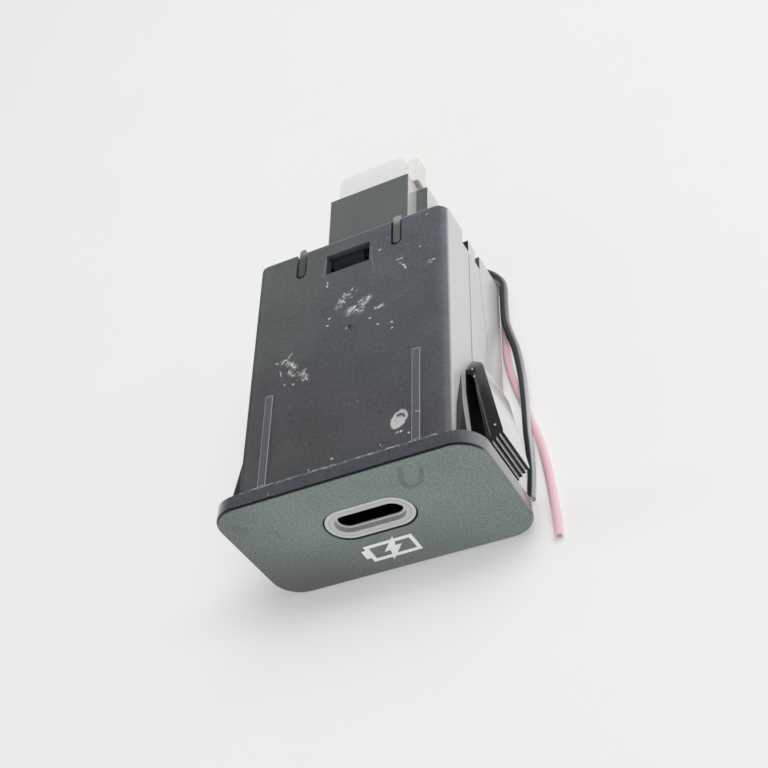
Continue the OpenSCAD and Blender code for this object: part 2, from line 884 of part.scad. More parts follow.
// Catmull-Rom point between b and c at a share t of the way.
function blend(a, b, c, d, t) = 0.5 * (2 * b + (c - a) * t + (2 * a - 5 * b + 4 * c - d) * t * t
    + (3 * b - a - 3 * c + d) * t * t * t);

// Point of a route at a station measured in route points.
function on_route(p, s) =
    let (n = len(p) - 1, i = min(floor(s), n - 1))
    blend(p[max(i - 1, 0)], p[i], p[i + 1], p[min(i + 2, n)], s - i);

// Unit vector.
function unit(v) = v / norm(v);

// Tube along a route: one ring of eight corners at each station, capped at both ends.
module tube(route, d) {
    sides = 8;
    n = 2 * (len(route) - 1);
    centre = [for (k = [0 : n]) on_route(route, k / 2)];
    ring = [for (k = [0 : n])
        let (
            run = unit(k == 0 ? route[1] - route[0] : centre[min(k + 1, n)] - centre[k - 1]),
            across = unit(cross(run, [0.9, 0.1, 0.42])),
            rise = cross(run, across)
        )
        for (j = [0 : sides - 1])
            centre[k] + d / 2 * (cos(360 * j / sides) * across + sin(360 * j / sides) * rise)];
    wall_faces = [for (k = [0 : n - 1], j = [0 : sides - 1])
        let (a = k * sides + j, b = k * sides + (j + 1) % sides)
        each [[a, b, b + sides], [a, b + sides, a + sides]]];
    start_cap = [[for (j = [sides - 1 : -1 : 0]) j]];
    end_cap = [[for (j = [0 : sides - 1]) n * sides + j]];
    polyhedron(points = ring, faces = concat(wall_faces, start_cap, end_cap));
}

// Route of the pink wire: out of the plug, down to the floor, round the rear corner and forward.
pink_x = pin_at[1];
pink_route = [[pink_x, crimp_end, terminal_mid], [pink_x, crimp_end + 1.5, terminal_mid],
    [pink_x, crimp_end + 3, terminal_mid], [pink_x, overall + 2.25, 3.68], [1.6, overall + 3.35, 2.62],
    [1.8, overall + 3.8, 1.05], [2.1, overall + 3.7, -1.1], [2.6, overall + 2.9, -3.2],
    [3.4, overall + 1.3, -5.3], [4.6, overall - 1, -7.2], [6, overall - 3.7, -8.5],
    [7.4, overall - 6.2, wire_z + 0.06], [8.9, 45.2, wire_z], [10.6, 43.5, wire_z], [12.5, 41.9, wire_z],
    [13.8, 39.7, wire_z], [14, 36.6, wire_z], [14, 33, wire_z], [14, 30, wire_z], [14.05, 27.4, wire_z],
    [14.5, 24.4, wire_z], [15.4, 20.8, wire_z], [16.5, 17, wire_z], [17.7, 12.6, wire_z],
    [18.45, 7.8, wire_z], [18.9, 3.2, wire_z], [19.1, 0.4, wire_z], [19.2, -1.8, wire_z]];

// Route of the black wire: on the pink one, over it, and down to its end behind the bezel.
black_x = pin_at[2];
black_route = [[black_x, crimp_end, terminal_mid], [black_x, crimp_end + 1.5, terminal_mid],
    [black_x, crimp_end + 3, terminal_mid], [black_x, overall + 2.25, 3.68], [3.7, overall + 3.35, 2.62],
    [3.85, overall + 3.8, 1.05], [4.1, overall + 3.7, -1.1], [4.5, overall + 2.9, -3],
    [5.1, overall + 1.3, -4.85], [5.9, overall - 1, -6.3], [6.9, overall - 3.7, -7.3],
    [8, overall - 6.2, over_z], [9.4, 45.4, over_z], [11.1, 43.7, over_z], [13, 42.1, over_z],
    [14.4, 39.8, over_z], [14.5, 36.4, over_z], [14.55, 33.2, over_z], [15, 30.6, over_z],
    [15.7, 27.6, over_z - 0.3], [16.2, 23.4, over_z - 0.4], [16.5, 19.6, over_z - 0.1],
    [16.6, 16.6, over_z], [16.55, 13.8, over_z - 0.2], [16.5, 11, wire_z + 0.5],
    [16.4, 8.4, wire_z + 0.08], [16.25, 6.2, wire_z], [16.1, 4.4, wire_z]];

// Black wire, cut off behind the bezel.
module wire_black() {
    color([0.06, 0.06, 0.06])
        tube(black_route, wire_d);
}

// Pink wire, cut off beside the bezel.
module wire_pink() {
    color([0.9, 0.66, 0.7])
        tube(pink_route, wire_d);
}

set_down() bezel();
set_down() port_ring();
set_down() housing();
set_down() rear_cover();
set_down() circuit_board();
set_down() usb_shell();
set_down() usb_tongue();
set_down() usb_contacts();
set_down() header_pins();
set_down() power_inductor();
set_down() input_capacitor();
set_down() surge_diode();
set_down() converter_chip();
set_down() charge_controller();
set_down() power_switches();
set_down() ceramic_capacitors();
set_down() ring_leds();
set_down() plug_housing();
set_down() plug_terminals();
set_down() plug_retainer();
set_down() wire_black();
set_down() wire_pink();
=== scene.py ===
import math

import bmesh
import bpy
from mathutils import Matrix, Vector


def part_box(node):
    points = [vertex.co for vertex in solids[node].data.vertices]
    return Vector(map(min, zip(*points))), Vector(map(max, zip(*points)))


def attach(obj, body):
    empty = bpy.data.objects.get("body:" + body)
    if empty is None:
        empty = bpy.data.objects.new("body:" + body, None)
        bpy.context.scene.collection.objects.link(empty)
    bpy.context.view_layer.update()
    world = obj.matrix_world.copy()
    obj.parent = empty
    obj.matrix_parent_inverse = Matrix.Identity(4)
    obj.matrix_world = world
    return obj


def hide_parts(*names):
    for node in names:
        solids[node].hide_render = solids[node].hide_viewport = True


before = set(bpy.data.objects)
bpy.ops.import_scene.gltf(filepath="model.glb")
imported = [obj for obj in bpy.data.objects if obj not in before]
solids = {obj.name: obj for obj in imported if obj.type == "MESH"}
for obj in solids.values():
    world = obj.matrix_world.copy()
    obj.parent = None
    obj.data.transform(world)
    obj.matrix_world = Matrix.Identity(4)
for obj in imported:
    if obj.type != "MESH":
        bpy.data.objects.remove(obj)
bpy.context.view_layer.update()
scene = bpy.context.scene
scene.view_settings.view_transform = "Standard"


# Table and studio: a wide sheet of matt white board under a softbox and a front fill, in a room
# that is pale near the floor and dim overhead. None of it belongs to the part.

def set_sockets(tree, made, sockets):
    """Each socket takes a value or a link."""
    for name, value in sockets.items():
        if isinstance(value, bpy.types.NodeSocket):
            tree.links.new(value, made.inputs[name])
        else:
            made.inputs[name].default_value = value


def add(tree, kind, sockets=None, **settings):
    """A shader node with its settings and sockets."""
    made = tree.nodes.new("ShaderNode" + kind)
    for name, value in settings.items():
        setattr(made, name, value)
    set_sockets(tree, made, sockets or {})
    return made


def finish(name, constants):
    """A material with the values that are the same all over it."""
    made = bpy.data.materials.new(name)
    made.use_nodes = True
    shader = made.node_tree.nodes["Principled BSDF"]
    set_sockets(made.node_tree, shader, constants)
    return made, made.node_tree, shader


def math_node(tree, operation, a, b=0.0):
    """One step of arithmetic."""
    return add(tree, "Math", {0: a, 1: b}, operation=operation).outputs["Value"]


def vector_node(tree, operation, a, b):
    """One step of arithmetic on vectors."""
    return add(tree, "VectorMath", {0: a, 1: b}, operation=operation).outputs["Vector"]


def measure(tree, operation, a, b=(0, 0, 0)):
    """A number worked out from vectors, such as a distance."""
    return add(tree, "VectorMath", {0: a, 1: b}, operation=operation).outputs["Value"]


def on_part(tree):
    """The place in the part's frame, in metres."""
    return add(tree, "TexCoord").outputs["Object"]


def noise(tree, place, scale, detail):
    """Smooth noise between 0 and 1."""
    return add(tree, "TexNoise", {"Vector": place, "Scale": scale, "Detail": detail}).outputs["Fac"]


def ramp(tree, value, start, end, low=0.0, high=1.0):
    """Eases a value from low to high between a start and an end."""
    sockets = {"Value": value, "From Min": start, "From Max": end, "To Min": low, "To Max": high}
    return add(tree, "MapRange", sockets, interpolation_type="SMOOTHSTEP", clamp=False).outputs["Result"]


def mesh_piece(name, corners, faces, material):
    """A mesh object from corners in metres."""
    mesh = bpy.data.meshes.new(name)
    mesh.from_pydata([tuple(c) for c in corners], [], faces)
    mesh.validate()
    mesh.materials.append(material)
    made = bpy.data.objects.new(name, mesh)
    scene.collection.objects.link(made)
    return made


backdrop_level = 0.95
board_white, tree, shader = finish("matt white board", {"Roughness": 0.75, "Specular IOR Level": 0.2})
place = on_part(tree)
tone = add(tree, "ValToRGB", {"Fac": noise(tree, place, 60.0, 6.0)})
tone.color_ramp.elements[0].color = (0.86, 0.86, 0.845, 1)
tone.color_ramp.elements[1].color = (0.9, 0.9, 0.885, 1)
set_sockets(tree, shader, {"Base Color": tone.outputs["Color"]})

# The camera sees most of the board's own shading at the bezel's foot, and an even tone far away.
bezel_foot = (0, -0.0265, 0)
foot_stretch = (0.15, 1, 1)
ray = add(tree, "LightPath").outputs
from_foot = measure(tree, "DISTANCE", vector_node(tree, "MULTIPLY", place, foot_stretch), bezel_foot)
from_middle = measure(tree, "LENGTH", place)
share = math_node(tree, "MAXIMUM", ramp(tree, from_foot, 0.002, 0.007, 0.3, 0.5),
                  ramp(tree, from_middle, 0.15, 0.6, 0.0, backdrop_level))
shown = math_node(tree, "MULTIPLY", ray["Is Camera Ray"], share)
mirrored = math_node(tree, "MAXIMUM", ray["Is Glossy Ray"], ray["Is Transmission Ray"])
pale = add(tree, "Emission", {"Color": (0.97, 0.97, 0.955, 1)}).outputs["Emission"]
white = add(tree, "Emission", {"Color": (1, 1, 0.985, 1)}).outputs["Emission"]
seen = add(tree, "MixShader", {"Fac": shown, 1: shader.outputs["BSDF"], 2: pale}).outputs["Shader"]
seen = add(tree, "MixShader", {"Fac": mirrored, 1: seen, 2: white}).outputs["Shader"]
set_sockets(tree, tree.nodes["Material Output"], {"Surface": seen})

table_reach = 3.0
turns = [math.radians(a) for a in range(0, 360, 6)]
rim = [(table_reach * math.cos(turn), table_reach * math.sin(turn), 0) for turn in turns]
table = mesh_piece("table", rim, [list(range(len(rim)))], board_white)

room = bpy.data.worlds.new("pale room")
scene.world = room
room.use_nodes = True
tree = room.node_tree
height = add(tree, "SeparateXYZ", {"Vector": add(tree, "TexCoord").outputs["Generated"]}).outputs["Z"]
level = ramp(tree, height, 0.1, 0.65, 0.8, 0.22)
backdrop = math_node(tree, "MULTIPLY", add(tree, "LightPath").outputs["Is Camera Ray"], backdrop_level)
level = math_node(tree, "MAXIMUM", level, backdrop)
set_sockets(tree, tree.nodes["Background"], {"Color": (0.97, 0.985, 1, 1), "Strength": level})


def lamp(name, place, width, depth, power):
    """A flat lamp that faces the part and is not mirrored in it."""
    light = bpy.data.lights.new(name, "AREA")
    light.shape = "RECTANGLE"
    light.size = width
    light.size_y = depth
    light.energy = power
    made = bpy.data.objects.new(name, light)
    made.location = place
    made.rotation_euler = (-Vector(place)).to_track_quat("-Z", "Y").to_euler()
    made.visible_glossy = False
    scene.collection.objects.link(made)


lamp("softbox", (0.2, 0.12, 0.5), width=0.45, depth=0.45, power=2.2)
lamp("front fill", (-0.1, -0.5, 0.1), width=0.3, depth=0.15, power=0.55)

lens = bpy.data.cameras.new("camera")
lens.sensor_width = 36.0
lens.lens = 65.82
lens.clip_start = 0.005
camera = bpy.data.objects.new("camera", lens)
right = Vector((0.8901, 0.0177, -0.4555))
up = Vector((0.2866, 0.7554, 0.5893))
back = Vector((0.3545, -0.6551, 0.6673))
pose = Matrix((right, up, back)).transposed().to_4x4()
pose.translation = (0.06331, -0.12096, 0.12722)
camera.matrix_world = pose
scene.collection.objects.link(camera)
scene.camera = camera


# Circuit board: green epoxy laminate, slid into two rails of the sleeve. Copper tracks show
# through the solder mask, and the cut edges show the bare glass fibre.

def group(name, takes, gives):
    """A shader node group with named sockets, and the sockets at its two ends."""
    made = bpy.data.node_groups.new(name, "ShaderNodeTree")
    for socket, kind, value in takes:
        taken = made.interface.new_socket(socket, in_out="INPUT", socket_type="NodeSocket" + kind)
        taken.default_value = value
    for socket, kind in gives:
        made.interface.new_socket(socket, in_out="OUTPUT", socket_type="NodeSocket" + kind)
    return made, made.nodes.new("NodeGroupInput").outputs, made.nodes.new("NodeGroupOutput").inputs


def use(tree, made, sockets):
    """Places a node group in a material with its own values."""
    placed = tree.nodes.new("ShaderNodeGroup")
    placed.node_tree = made
    set_sockets(tree, placed, sockets)
    return placed.outputs


def blend(tree, mask, a, b):
    """Colour a where the mask is 0, and b where it is 1."""
    mixed = add(tree, "Mix", data_type="RGBA")
    set_sockets(tree, mixed, {0: mask, 6: a, 7: b})
    return mixed.outputs[2]


def above(tree, value, limit):
    """Mask of where a value is over a limit."""
    return math_node(tree, "GREATER_THAN", value, limit)


def swung(tree, value, reach):
    """Noise moved to lie about 0, times a reach."""
    return math_node(tree, "MULTIPLY", math_node(tree, "SUBTRACT", value, 0.5), reach)


# Skin of a moulded piece: cloudy colour, speckle, uneven gloss, and a fine grain for the bump.
skin, given, out = group(
    "moulded skin",
    [("Colour", "Color", (0.5, 0.5, 0.5, 1)), ("Mottle", "Float", 0.1), ("Speckle", "Float", 0.0),
     ("Roughness", "Float", 0.4), ("Unevenness", "Float", 0.1), ("Grain", "Float", 5000.0)],
    [("Colour", "Color"), ("Roughness", "Float"), ("Height", "Float")])
place = on_part(skin)
cloud = noise(skin, place, 160.0, 5.0)
fine = noise(skin, place, given["Grain"], 2.0)
smear = noise(skin, place, 420.0, 4.0)
shift = math_node(skin, "ADD", swung(skin, cloud, given["Mottle"]), swung(skin, fine, given["Speckle"]))
value = math_node(skin, "ADD", shift, 1.0)
bright = add(skin, "HueSaturation", {"Color": given["Colour"], "Value": value}).outputs["Color"]
dull = math_node(skin, "ADD", given["Roughness"], swung(skin, smear, given["Unevenness"]))
skin.links.new(bright, out["Colour"])
skin.links.new(dull, out["Roughness"])
skin.links.new(fine, out["Height"])


def bump(tree, shader, height, depth):
    """Relief of a given depth in metres on the shader's normal."""
    relief = add(tree, "Bump", {"Height": height, "Distance": depth})
    set_sockets(tree, shader, {"Normal": relief.outputs["Normal"]})


def moulded(tree, shader, colour, mottle, roughness, unevenness, grain, depth, speckle=0.0, height=None):
    """Feeds a shader from the moulded skin group. Its relief is the skin's grain or a given height."""
    made = use(tree, skin, {"Colour": colour, "Mottle": mottle, "Speckle": speckle, "Roughness": roughness,
                            "Unevenness": unevenness, "Grain": grain})
    set_sockets(tree, shader, {"Base Color": made["Colour"], "Roughness": made["Roughness"]})
    bump(tree, shader, made["Height"] if height is None else height, depth)


def dress(name, material):
    """Gives a solid its material."""
    solids[name].data.materials.clear()
    solids[name].data.materials.append(material)


def round_edges(name, width, segments=2):
    """Moulded edges: the solid's facets become whole faces, and its sharp edges are rounded."""
    solid = solids[name]
    if "custom_normal" in solid.data.attributes:
        solid.data.attributes.remove(solid.data.attributes["custom_normal"])
    solid.data.shade_smooth()
    weld = solid.modifiers.new("one skin", "WELD")
    weld.merge_threshold = 2e-6
    whole = solid.modifiers.new("whole faces", "DECIMATE")
    whole.decimate_type = "DISSOLVE"
    whole.angle_limit = math.radians(0.5)
    edge = solid.modifiers.new("rounded edges", "BEVEL")
    edge.width = width
    edge.segments = segments
    edge.limit_method = "ANGLE"
    edge.angle_limit = math.radians(35)
    edge.use_clamp_overlap = False
    edge.harden_normals = True


def facing(tree, axis):
    """How far the surface looks along an axis, from -1 to 1."""
    return add(tree, "SeparateXYZ", {"Vector": add(tree, "NewGeometry").outputs["Normal"]}).outputs[axis]


laminate, tree, shader = finish("green solder mask", {"IOR": 1.5, "Coat Weight": 0.3})
bare_glass = (0.32, 0.30, 0.16, 1)
tracks = add(tree, "TexBrick", {
    "Vector": on_part(tree), "Scale": 220.0, "Mortar Size": 0.03, "Mortar": (0.05, 0.22, 0.11, 1),
    "Color1": (0.016, 0.11, 0.055, 1), "Color2": (0.02, 0.135, 0.068, 1)}).outputs["Color"]
flat = above(tree, math_node(tree, "ABSOLUTE", facing(tree, "Z")), 0.5)
moulded(tree, shader, blend(tree, flat, bare_glass, tracks), mottle=0.2, roughness=0.35,
        unevenness=0.1, grain=2500.0, depth=4e-6)
dress("circuit_board", laminate)


# Parts on the board: a shielded choke, an aluminium can capacitor, a surge diode, three kinds of
# resin-moulded chips, ceramic capacitors and two lamps for the ring, all reflow-soldered.

def below(tree, value, limit):
    """Mask of where a value is under a limit."""
    return math_node(tree, "LESS_THAN", value, limit)


def opposite(tree, mask):
    """What a mask leaves out."""
    return math_node(tree, "SUBTRACT", 1.0, mask)


def off(tree, value, middle):
    """How far a value lies from a middle, to either side."""
    return math_node(tree, "ABSOLUTE", math_node(tree, "SUBTRACT", value, middle))


def along(tree, axis):
    """Place on the part along an axis, in metres."""
    return add(tree, "SeparateXYZ", {"Vector": on_part(tree)}).outputs[axis]


def beyond(tree, axis, middle, reach):
    """Mask of what lies farther than a reach from a middle, along one axis."""
    return above(tree, off(tree, along(tree, axis), middle), reach)


def middle_of(name):
    """Middle of a solid, and half its size."""
    low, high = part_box(name)
    return (low + high) / 2, (high - low) / 2


ferrite, tree, shader = finish("pressed ferrite", {"IOR": 1.6})
moulded(tree, shader, (0.07, 0.07, 0.075, 1), mottle=0.5, roughness=0.6, unevenness=0.2,
        grain=7000.0, depth=1.2e-5)
dress("power_inductor", ferrite)
round_edges("power_inductor", 0.00025)

can, tree, shader = finish("drawn aluminium can", {})
can_height = 0.0046
band_x = 0.004
band_half = 0.0022
centre, half = middle_of("input_capacitor")
foot = beyond(tree, "Z", centre.z + half.z, can_height)
band = beyond(tree, "X", centre.x + band_x, band_half)
shade = blend(tree, band, (0.03, 0.03, 0.03, 1), (0.78, 0.79, 0.80, 1))
shade = blend(tree, foot, shade, (0.02, 0.02, 0.02, 1))
moulded(tree, shader, shade, mottle=0.1, roughness=0.3, unevenness=0.1, grain=900.0, depth=3e-6)
set_sockets(tree, shader, {"Metallic": opposite(tree, foot)})
dress("input_capacitor", can)
round_edges("input_capacitor", 0.00012)

# The leads begin at this share of half the chip's size.
lead_start = 0.9
dot_inset = Vector((0.0011, -0.0007, 0))
dot_radius = 0.00028


def moulded_chip(name, tin_axis):
    """Black resin body with tinned leads at two sides and a mark at the first lead."""
    made, tree, shader = finish(name + " resin", {"IOR": 1.55})
    centre, half = middle_of(name)
    axis = "XYZ".index(tin_axis)
    tin = beyond(tree, tin_axis, centre[axis], lead_start * half[axis])
    dot = centre + Vector((-half.x, half.y, half.z)) + dot_inset
    mark = below(tree, measure(tree, "DISTANCE", on_part(tree), dot), dot_radius)
    shade = blend(tree, mark, (0.018, 0.018, 0.02, 1), (0.09, 0.09, 0.09, 1))
    shade = blend(tree, tin, shade, (0.66, 0.65, 0.60, 1))
    moulded(tree, shader, shade, mottle=0.4, roughness=0.55, unevenness=0.15, grain=9000.0, depth=8e-6)
    set_sockets(tree, shader, {"Metallic": tin})
    dress(name, made)
    round_edges(name, 0.00006)


moulded_chip("surge_diode", "X")
moulded_chip("converter_chip", "X")
moulded_chip("charge_controller", "X")
moulded_chip("power_switches", "Y")

ceramic, tree, shader = finish("fired ceramic", {"IOR": 1.6})
tin_start = 0.62
centre, half = middle_of("ceramic_capacitors")
ends = beyond(tree, "X", centre.x, half.x * tin_start)
shade = blend(tree, ends, (0.36, 0.23, 0.12, 1), (0.70, 0.69, 0.65, 1))
moulded(tree, shader, shade, mottle=0.3, roughness=0.42, unevenness=0.1, grain=6000.0, depth=6e-6)
set_sockets(tree, shader, {"Metallic": ends})
dress("ceramic_capacitors", ceramic)
round_edges("ceramic_capacitors", 0.00008)

lamp_resin, tree, shader = finish(
    "lamp resin", {"IOR": 1.5, "Subsurface Weight": 0.3, "Subsurface Scale": 0.0004})
window_depth = 0.0009
window = beyond(tree, "Y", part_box("ring_leds")[1].y, window_depth)
shade = blend(tree, window, (0.82, 0.80, 0.74, 1), (0.85, 0.62, 0.14, 1))
moulded(tree, shader, shade, mottle=0.1, roughness=0.3, unevenness=0.1, grain=5000.0, depth=4e-6)
dress("ring_leds", lamp_resin)
round_edges("ring_leds", 0.00008)


# Receptacle: a drawn steel shell with four legs through the board, a black resin tongue, and
# gold-plated contacts on both of its faces.

nickel, tree, shader = finish("nickel-plated steel", {})
lip_depth = 0.00016
drawing_marks = (9000.0, 500.0, 9000.0)
across_axis = (1.0, 0.0, 1.0)
place = on_part(tree)
pulled = add(tree, "Mapping", {"Vector": place, "Scale": drawing_marks}).outputs["Vector"]
lines = noise(tree, pulled, 1.0, 3.0)
lip = below(tree, along(tree, "Y"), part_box("usb_shell")[0].y + lip_depth)
middle, half = middle_of("usb_shell")
off_axis = vector_node(tree, "SUBTRACT", place, Vector((0, 0, middle.z)))
off_axis = vector_node(tree, "MULTIPLY", off_axis, across_axis)
outward = measure(tree, "DOT_PRODUCT", off_axis, add(tree, "NewGeometry").outputs["Normal"])
inside = below(tree, outward, -0.0001)
# Painted shade and painted highlight: the inside of the shell is painted near-black, and its front lip is
# painted pale.
shade = blend(tree, inside, (0.66, 0.66, 0.64, 1), (0.02, 0.02, 0.02, 1))
shade = blend(tree, lip, shade, (0.9, 0.9, 0.89, 1))
moulded(tree, shader, shade, mottle=0.12, roughness=0.5, unevenness=0.1, grain=4000.0, depth=3e-6,
        height=lines)
set_sockets(tree, shader, {"Metallic": ramp(tree, lip, 0.0, 1.0, 1.0, 0.35)})
dress("usb_shell", nickel)

tongue_resin, tree, shader = finish("tongue resin", {"IOR": 1.5})
# The resin is painted near-black, partly as painted shade inside the port.
moulded(tree, shader, (0.009, 0.009, 0.01, 1), mottle=0.3, roughness=0.5, unevenness=0.1,
        grain=8000.0, depth=5e-6)
dress("usb_tongue", tongue_resin)
round_edges("usb_tongue", 0.00008)

gold, tree, shader = finish("gold flash", {"Metallic": 1.0})
# The gold is painted darker than clean gold, as painted shade inside the port.
moulded(tree, shader, (0.4, 0.27, 0.1, 1), mottle=0.3, roughness=0.4, unevenness=0.1,
        grain=6000.0, depth=2e-6)
dress("usb_contacts", gold)
round_edges("usb_contacts", 0.00003, segments=1)


# Port ring: one piece of translucent grey plastic that carries light to the front. Its flange is
# trapped behind the bezel, and a shallow step runs round its face.

# Line between two points: a mask of the line's own width, and the distance from it.
scribe, given, out = group(
    "scribed line",
    [("Place", "Vector", (0, 0, 0)), ("Start", "Vector", (0, 0, 0)), ("Run", "Vector", (1, 0, 0)),
     ("Pace", "Vector", (1, 0, 0)), ("Width", "Float", 0.0001)],
    [("Mask", "Float"), ("Distance", "Float")])
reach = vector_node(scribe, "SUBTRACT", given["Place"], given["Start"])
ahead = measure(scribe, "DOT_PRODUCT", reach, given["Pace"])
share = math_node(scribe, "MINIMUM", math_node(scribe, "MAXIMUM", ahead, 0.0), 1.0)
foot = add(scribe, "VectorMath", {0: given["Run"], "Scale": share}, operation="SCALE").outputs["Vector"]
away = measure(scribe, "DISTANCE", reach, foot)
inside = ramp(scribe, math_node(scribe, "DIVIDE", away, given["Width"]), 0.25, 0.75, 1.0, 0.0)
scribe.links.new(inside, out["Mask"])
scribe.links.new(away, out["Distance"])

half_length = 26.65
bezel_half = 9.6


def at(x, y, z):
    """A place in millimetres from the middle of the bezel's face, as metres in the part's frame."""
    return Vector((x, y - half_length, z + bezel_half)) / 1000


def line(tree, place, start, end, width):
    """One scribed line."""
    run = end - start
    pace = run / max(run.length_squared, 1e-12)
    return use(tree, scribe, {"Place": place, "Start": start, "Run": run, "Pace": pace, "Width": width})


ring_plastic, tree, shader = finish(
    "ring plastic", {"IOR": 1.49, "Subsurface Weight": 0.2, "Subsurface Scale": 0.0006})
port_z = 1.1
ends_x = 2.8
ring_face = 0.1
step_off = 0.0023
middle = line(tree, on_part(tree), at(-ends_x, ring_face, port_z), at(ends_x, ring_face, port_z), 0.0001)
step = math_node(tree, "SUBTRACT", middle["Distance"], step_off)
groove = ramp(tree, math_node(tree, "ABSOLUTE", step), 0.00003, 0.00009, 1.0, 0.0)
inner = ramp(tree, step, -0.0001, 0.0001, 1.0, 0.0)
shade = blend(tree, inner, (0.59, 0.6, 0.6, 1), (0.53, 0.54, 0.54, 1))
shade = blend(tree, groove, shade, (0.36, 0.37, 0.38, 1))
moulded(tree, shader, shade, mottle=0.06, roughness=0.36, unevenness=0.08, grain=6000.0, depth=3e-6)
dress("port_ring", ring_plastic)
round_edges("port_ring", 0.00006)


# Bezel: black moulded plastic whose front is coated with fine-grained grey-green paint. Its collar
# snaps into the sleeve. Use has left rubbed marks beside the port and a nick on the top edge.

# Dust that lies in specks of different sizes.
dust, given, out = group(
    "dust",
    [("Colour", "Color", (0.5, 0.5, 0.5, 1)), ("Dust", "Color", (0.4, 0.4, 0.38, 1)),
     ("Amount", "Float", 0.1), ("Cells", "Float", 900.0)],
    [("Colour", "Color")])
cell = add(dust, "TexVoronoi", {"Vector": on_part(dust), "Scale": given["Cells"]})
chance = add(dust, "SeparateColor", {"Color": cell.outputs["Color"]}).outputs["Red"]
size = math_node(dust, "MULTIPLY", math_node(dust, "SUBTRACT", given["Amount"], chance), 1.4)
speck = below(dust, cell.outputs["Distance"], size)
dust.links.new(blend(dust, speck, given["Colour"], given["Dust"]), out["Colour"])


def dusted(tree, colour, specks, amount, cells=900.0):
    """A colour with specks of dust in another colour."""
    return use(tree, dust, {"Colour": colour, "Dust": specks, "Amount": amount, "Cells": cells})["Colour"]


def either(tree, masks):
    """The strongest of several masks."""
    whole = masks[0]
    for mask in masks[1:]:
        whole = math_node(tree, "MAXIMUM", whole, mask)
    return whole


def drawn(tree, place, lines):
    """Mask of lines, each given by its width and the points that it runs through."""
    whole = None
    for width, points in lines:
        for start, end in zip(points, points[1:]):
            mask = line(tree, place, start, end, width)["Mask"]
            whole = mask if whole is None else math_node(tree, "MAXIMUM", whole, mask)
    return whole


def wavering(tree, reach, scale):
    """The place on the part, shaken by noise, so that marks drawn from it are uneven."""
    place = on_part(tree)
    shaken = add(tree, "TexNoise", {"Vector": place, "Scale": scale, "Detail": 3.0}).outputs["Color"]
    centred = vector_node(tree, "SUBTRACT", shaken, (0.5, 0.5, 0.5))
    return add(tree, "VectorMath", {0: centred, 1: (reach, reach, reach), 2: place},
               operation="MULTIPLY_ADD").outputs["Vector"]


def weighed(tree, mask, weight):
    """A fainter mask."""
    return math_node(tree, "MULTIPLY", mask, weight)


def on_face(points, lift=0.0):
    """Points across and up from the middle of the bezel's face, lifted off it, in millimetres."""
    return [at(x, -lift, z) for x, z in points]


def y_at(y):
    """Place along Y of what lies so many millimetres behind the bezel's face."""
    return at(0, y, 0).y


def z_at(z):
    """Place along Z of what lies so many millimetres above the bezel's middle."""
    return at(0, 0, z).z


bezel_plastic, tree, shader = finish("painted bezel", {"IOR": 1.5, "Coat Roughness": 0.1})
place = wavering(tree, 0.0008, 900.0)
painted = ramp(tree, facing(tree, "Y"), -0.95, -0.8, 1.0, 0.0)

# Rubbed marks and a worn patch on the paint, the nick and a fleck.
hook_mark = [(7.41, 8.24), (6.53, 6.23), (6.6, 4.86), (7.26, 4.44), (8.38, 4.93), (9.59, 7.18)]
corner_mark = [(-12.2, 3.85), (-11.3, 3.76), (-11.24, 2.48)]
rubbed = drawn(tree, place, [(0.0006, on_face(hook_mark))])
faint = drawn(tree, place, [(0.0004, on_face(corner_mark))])
patch = line(tree, place, at(-15.1, 0, 6.2), at(-14.6, 0, 5.4), 0.0016)["Mask"]
marks = either(tree, [weighed(tree, rubbed, 0.6), weighed(tree, faint, 0.45), weighed(tree, patch, 0.5)])
nick = weighed(tree, line(tree, place, at(-8.7, 0.6, 9.55), at(-7.9, 0.35, 9.5), 0.00022)["Mask"], 0.6)
fleck = line(tree, place, at(6.2, 0, 0.4), at(6.25, 0, 0.4), 0.0002)["Mask"]

# Painted shade darkens the paint towards the bottom and the left end.
low_left_shade = weighed(tree, ramp(tree, along(tree, "Z"), z_at(-bezel_half), z_at(3), 1.0, 0.0),
                 ramp(tree, along(tree, "X"), -0.014, 0.002, 1.0, 0.6))
low_left_shade = weighed(tree, low_left_shade, ramp(tree, along(tree, "X"), 0.0, 0.014, 1.0, 0.3))
left_end = ramp(tree, along(tree, "X"), -0.018, -0.006, 0.45, 0.0)
low_left_shade = math_node(tree, "ADD", low_left_shade, weighed(tree, left_end, opposite(tree, low_left_shade)))
paint = blend(tree, low_left_shade, (0.186, 0.233, 0.216, 1), (0.07, 0.073, 0.069, 1))
paint = blend(tree, marks, paint, (0.1, 0.118, 0.11, 1))
surface = use(tree, skin, {"Colour": paint, "Mottle": 0.3, "Speckle": 1.5, "Roughness": 0.55,
                           "Unevenness": 0.15, "Grain": 3600.0})
coating = dusted(tree, surface["Colour"], (0.45, 0.47, 0.45, 1), 0.03)

# The rim is bare plastic. Its right side is painted paler as a painted reflection, its top rear edge has
# pale specks of wear with a painted highlight, and where its top turns to the front it is painted
# near-black as painted shade.
bare = use(tree, skin, {"Colour": (0.062, 0.069, 0.078, 1), "Mottle": 0.5, "Speckle": 1.2,
                        "Roughness": 0.3, "Unevenness": 0.1, "Grain": 3000.0})
bare = dusted(tree, bare["Colour"], (0.3, 0.31, 0.31, 1), 0.1, 2000.0)
right_rim_reflection = weighed(tree, ramp(tree, facing(tree, "X"), 0.3, 0.8), 0.25)
shade = blend(tree, painted, blend(tree, right_rim_reflection, bare, (0.4, 0.41, 0.42, 1)), coating)
rim_top = 9.4
rim_rear = 1.95
rim_edge_wear_and_highlight = weighed(tree, ramp(tree, along(tree, "Y"), y_at(rim_rear - 0.2), y_at(rim_rear)),
                    above(tree, along(tree, "Z"), z_at(rim_top)))
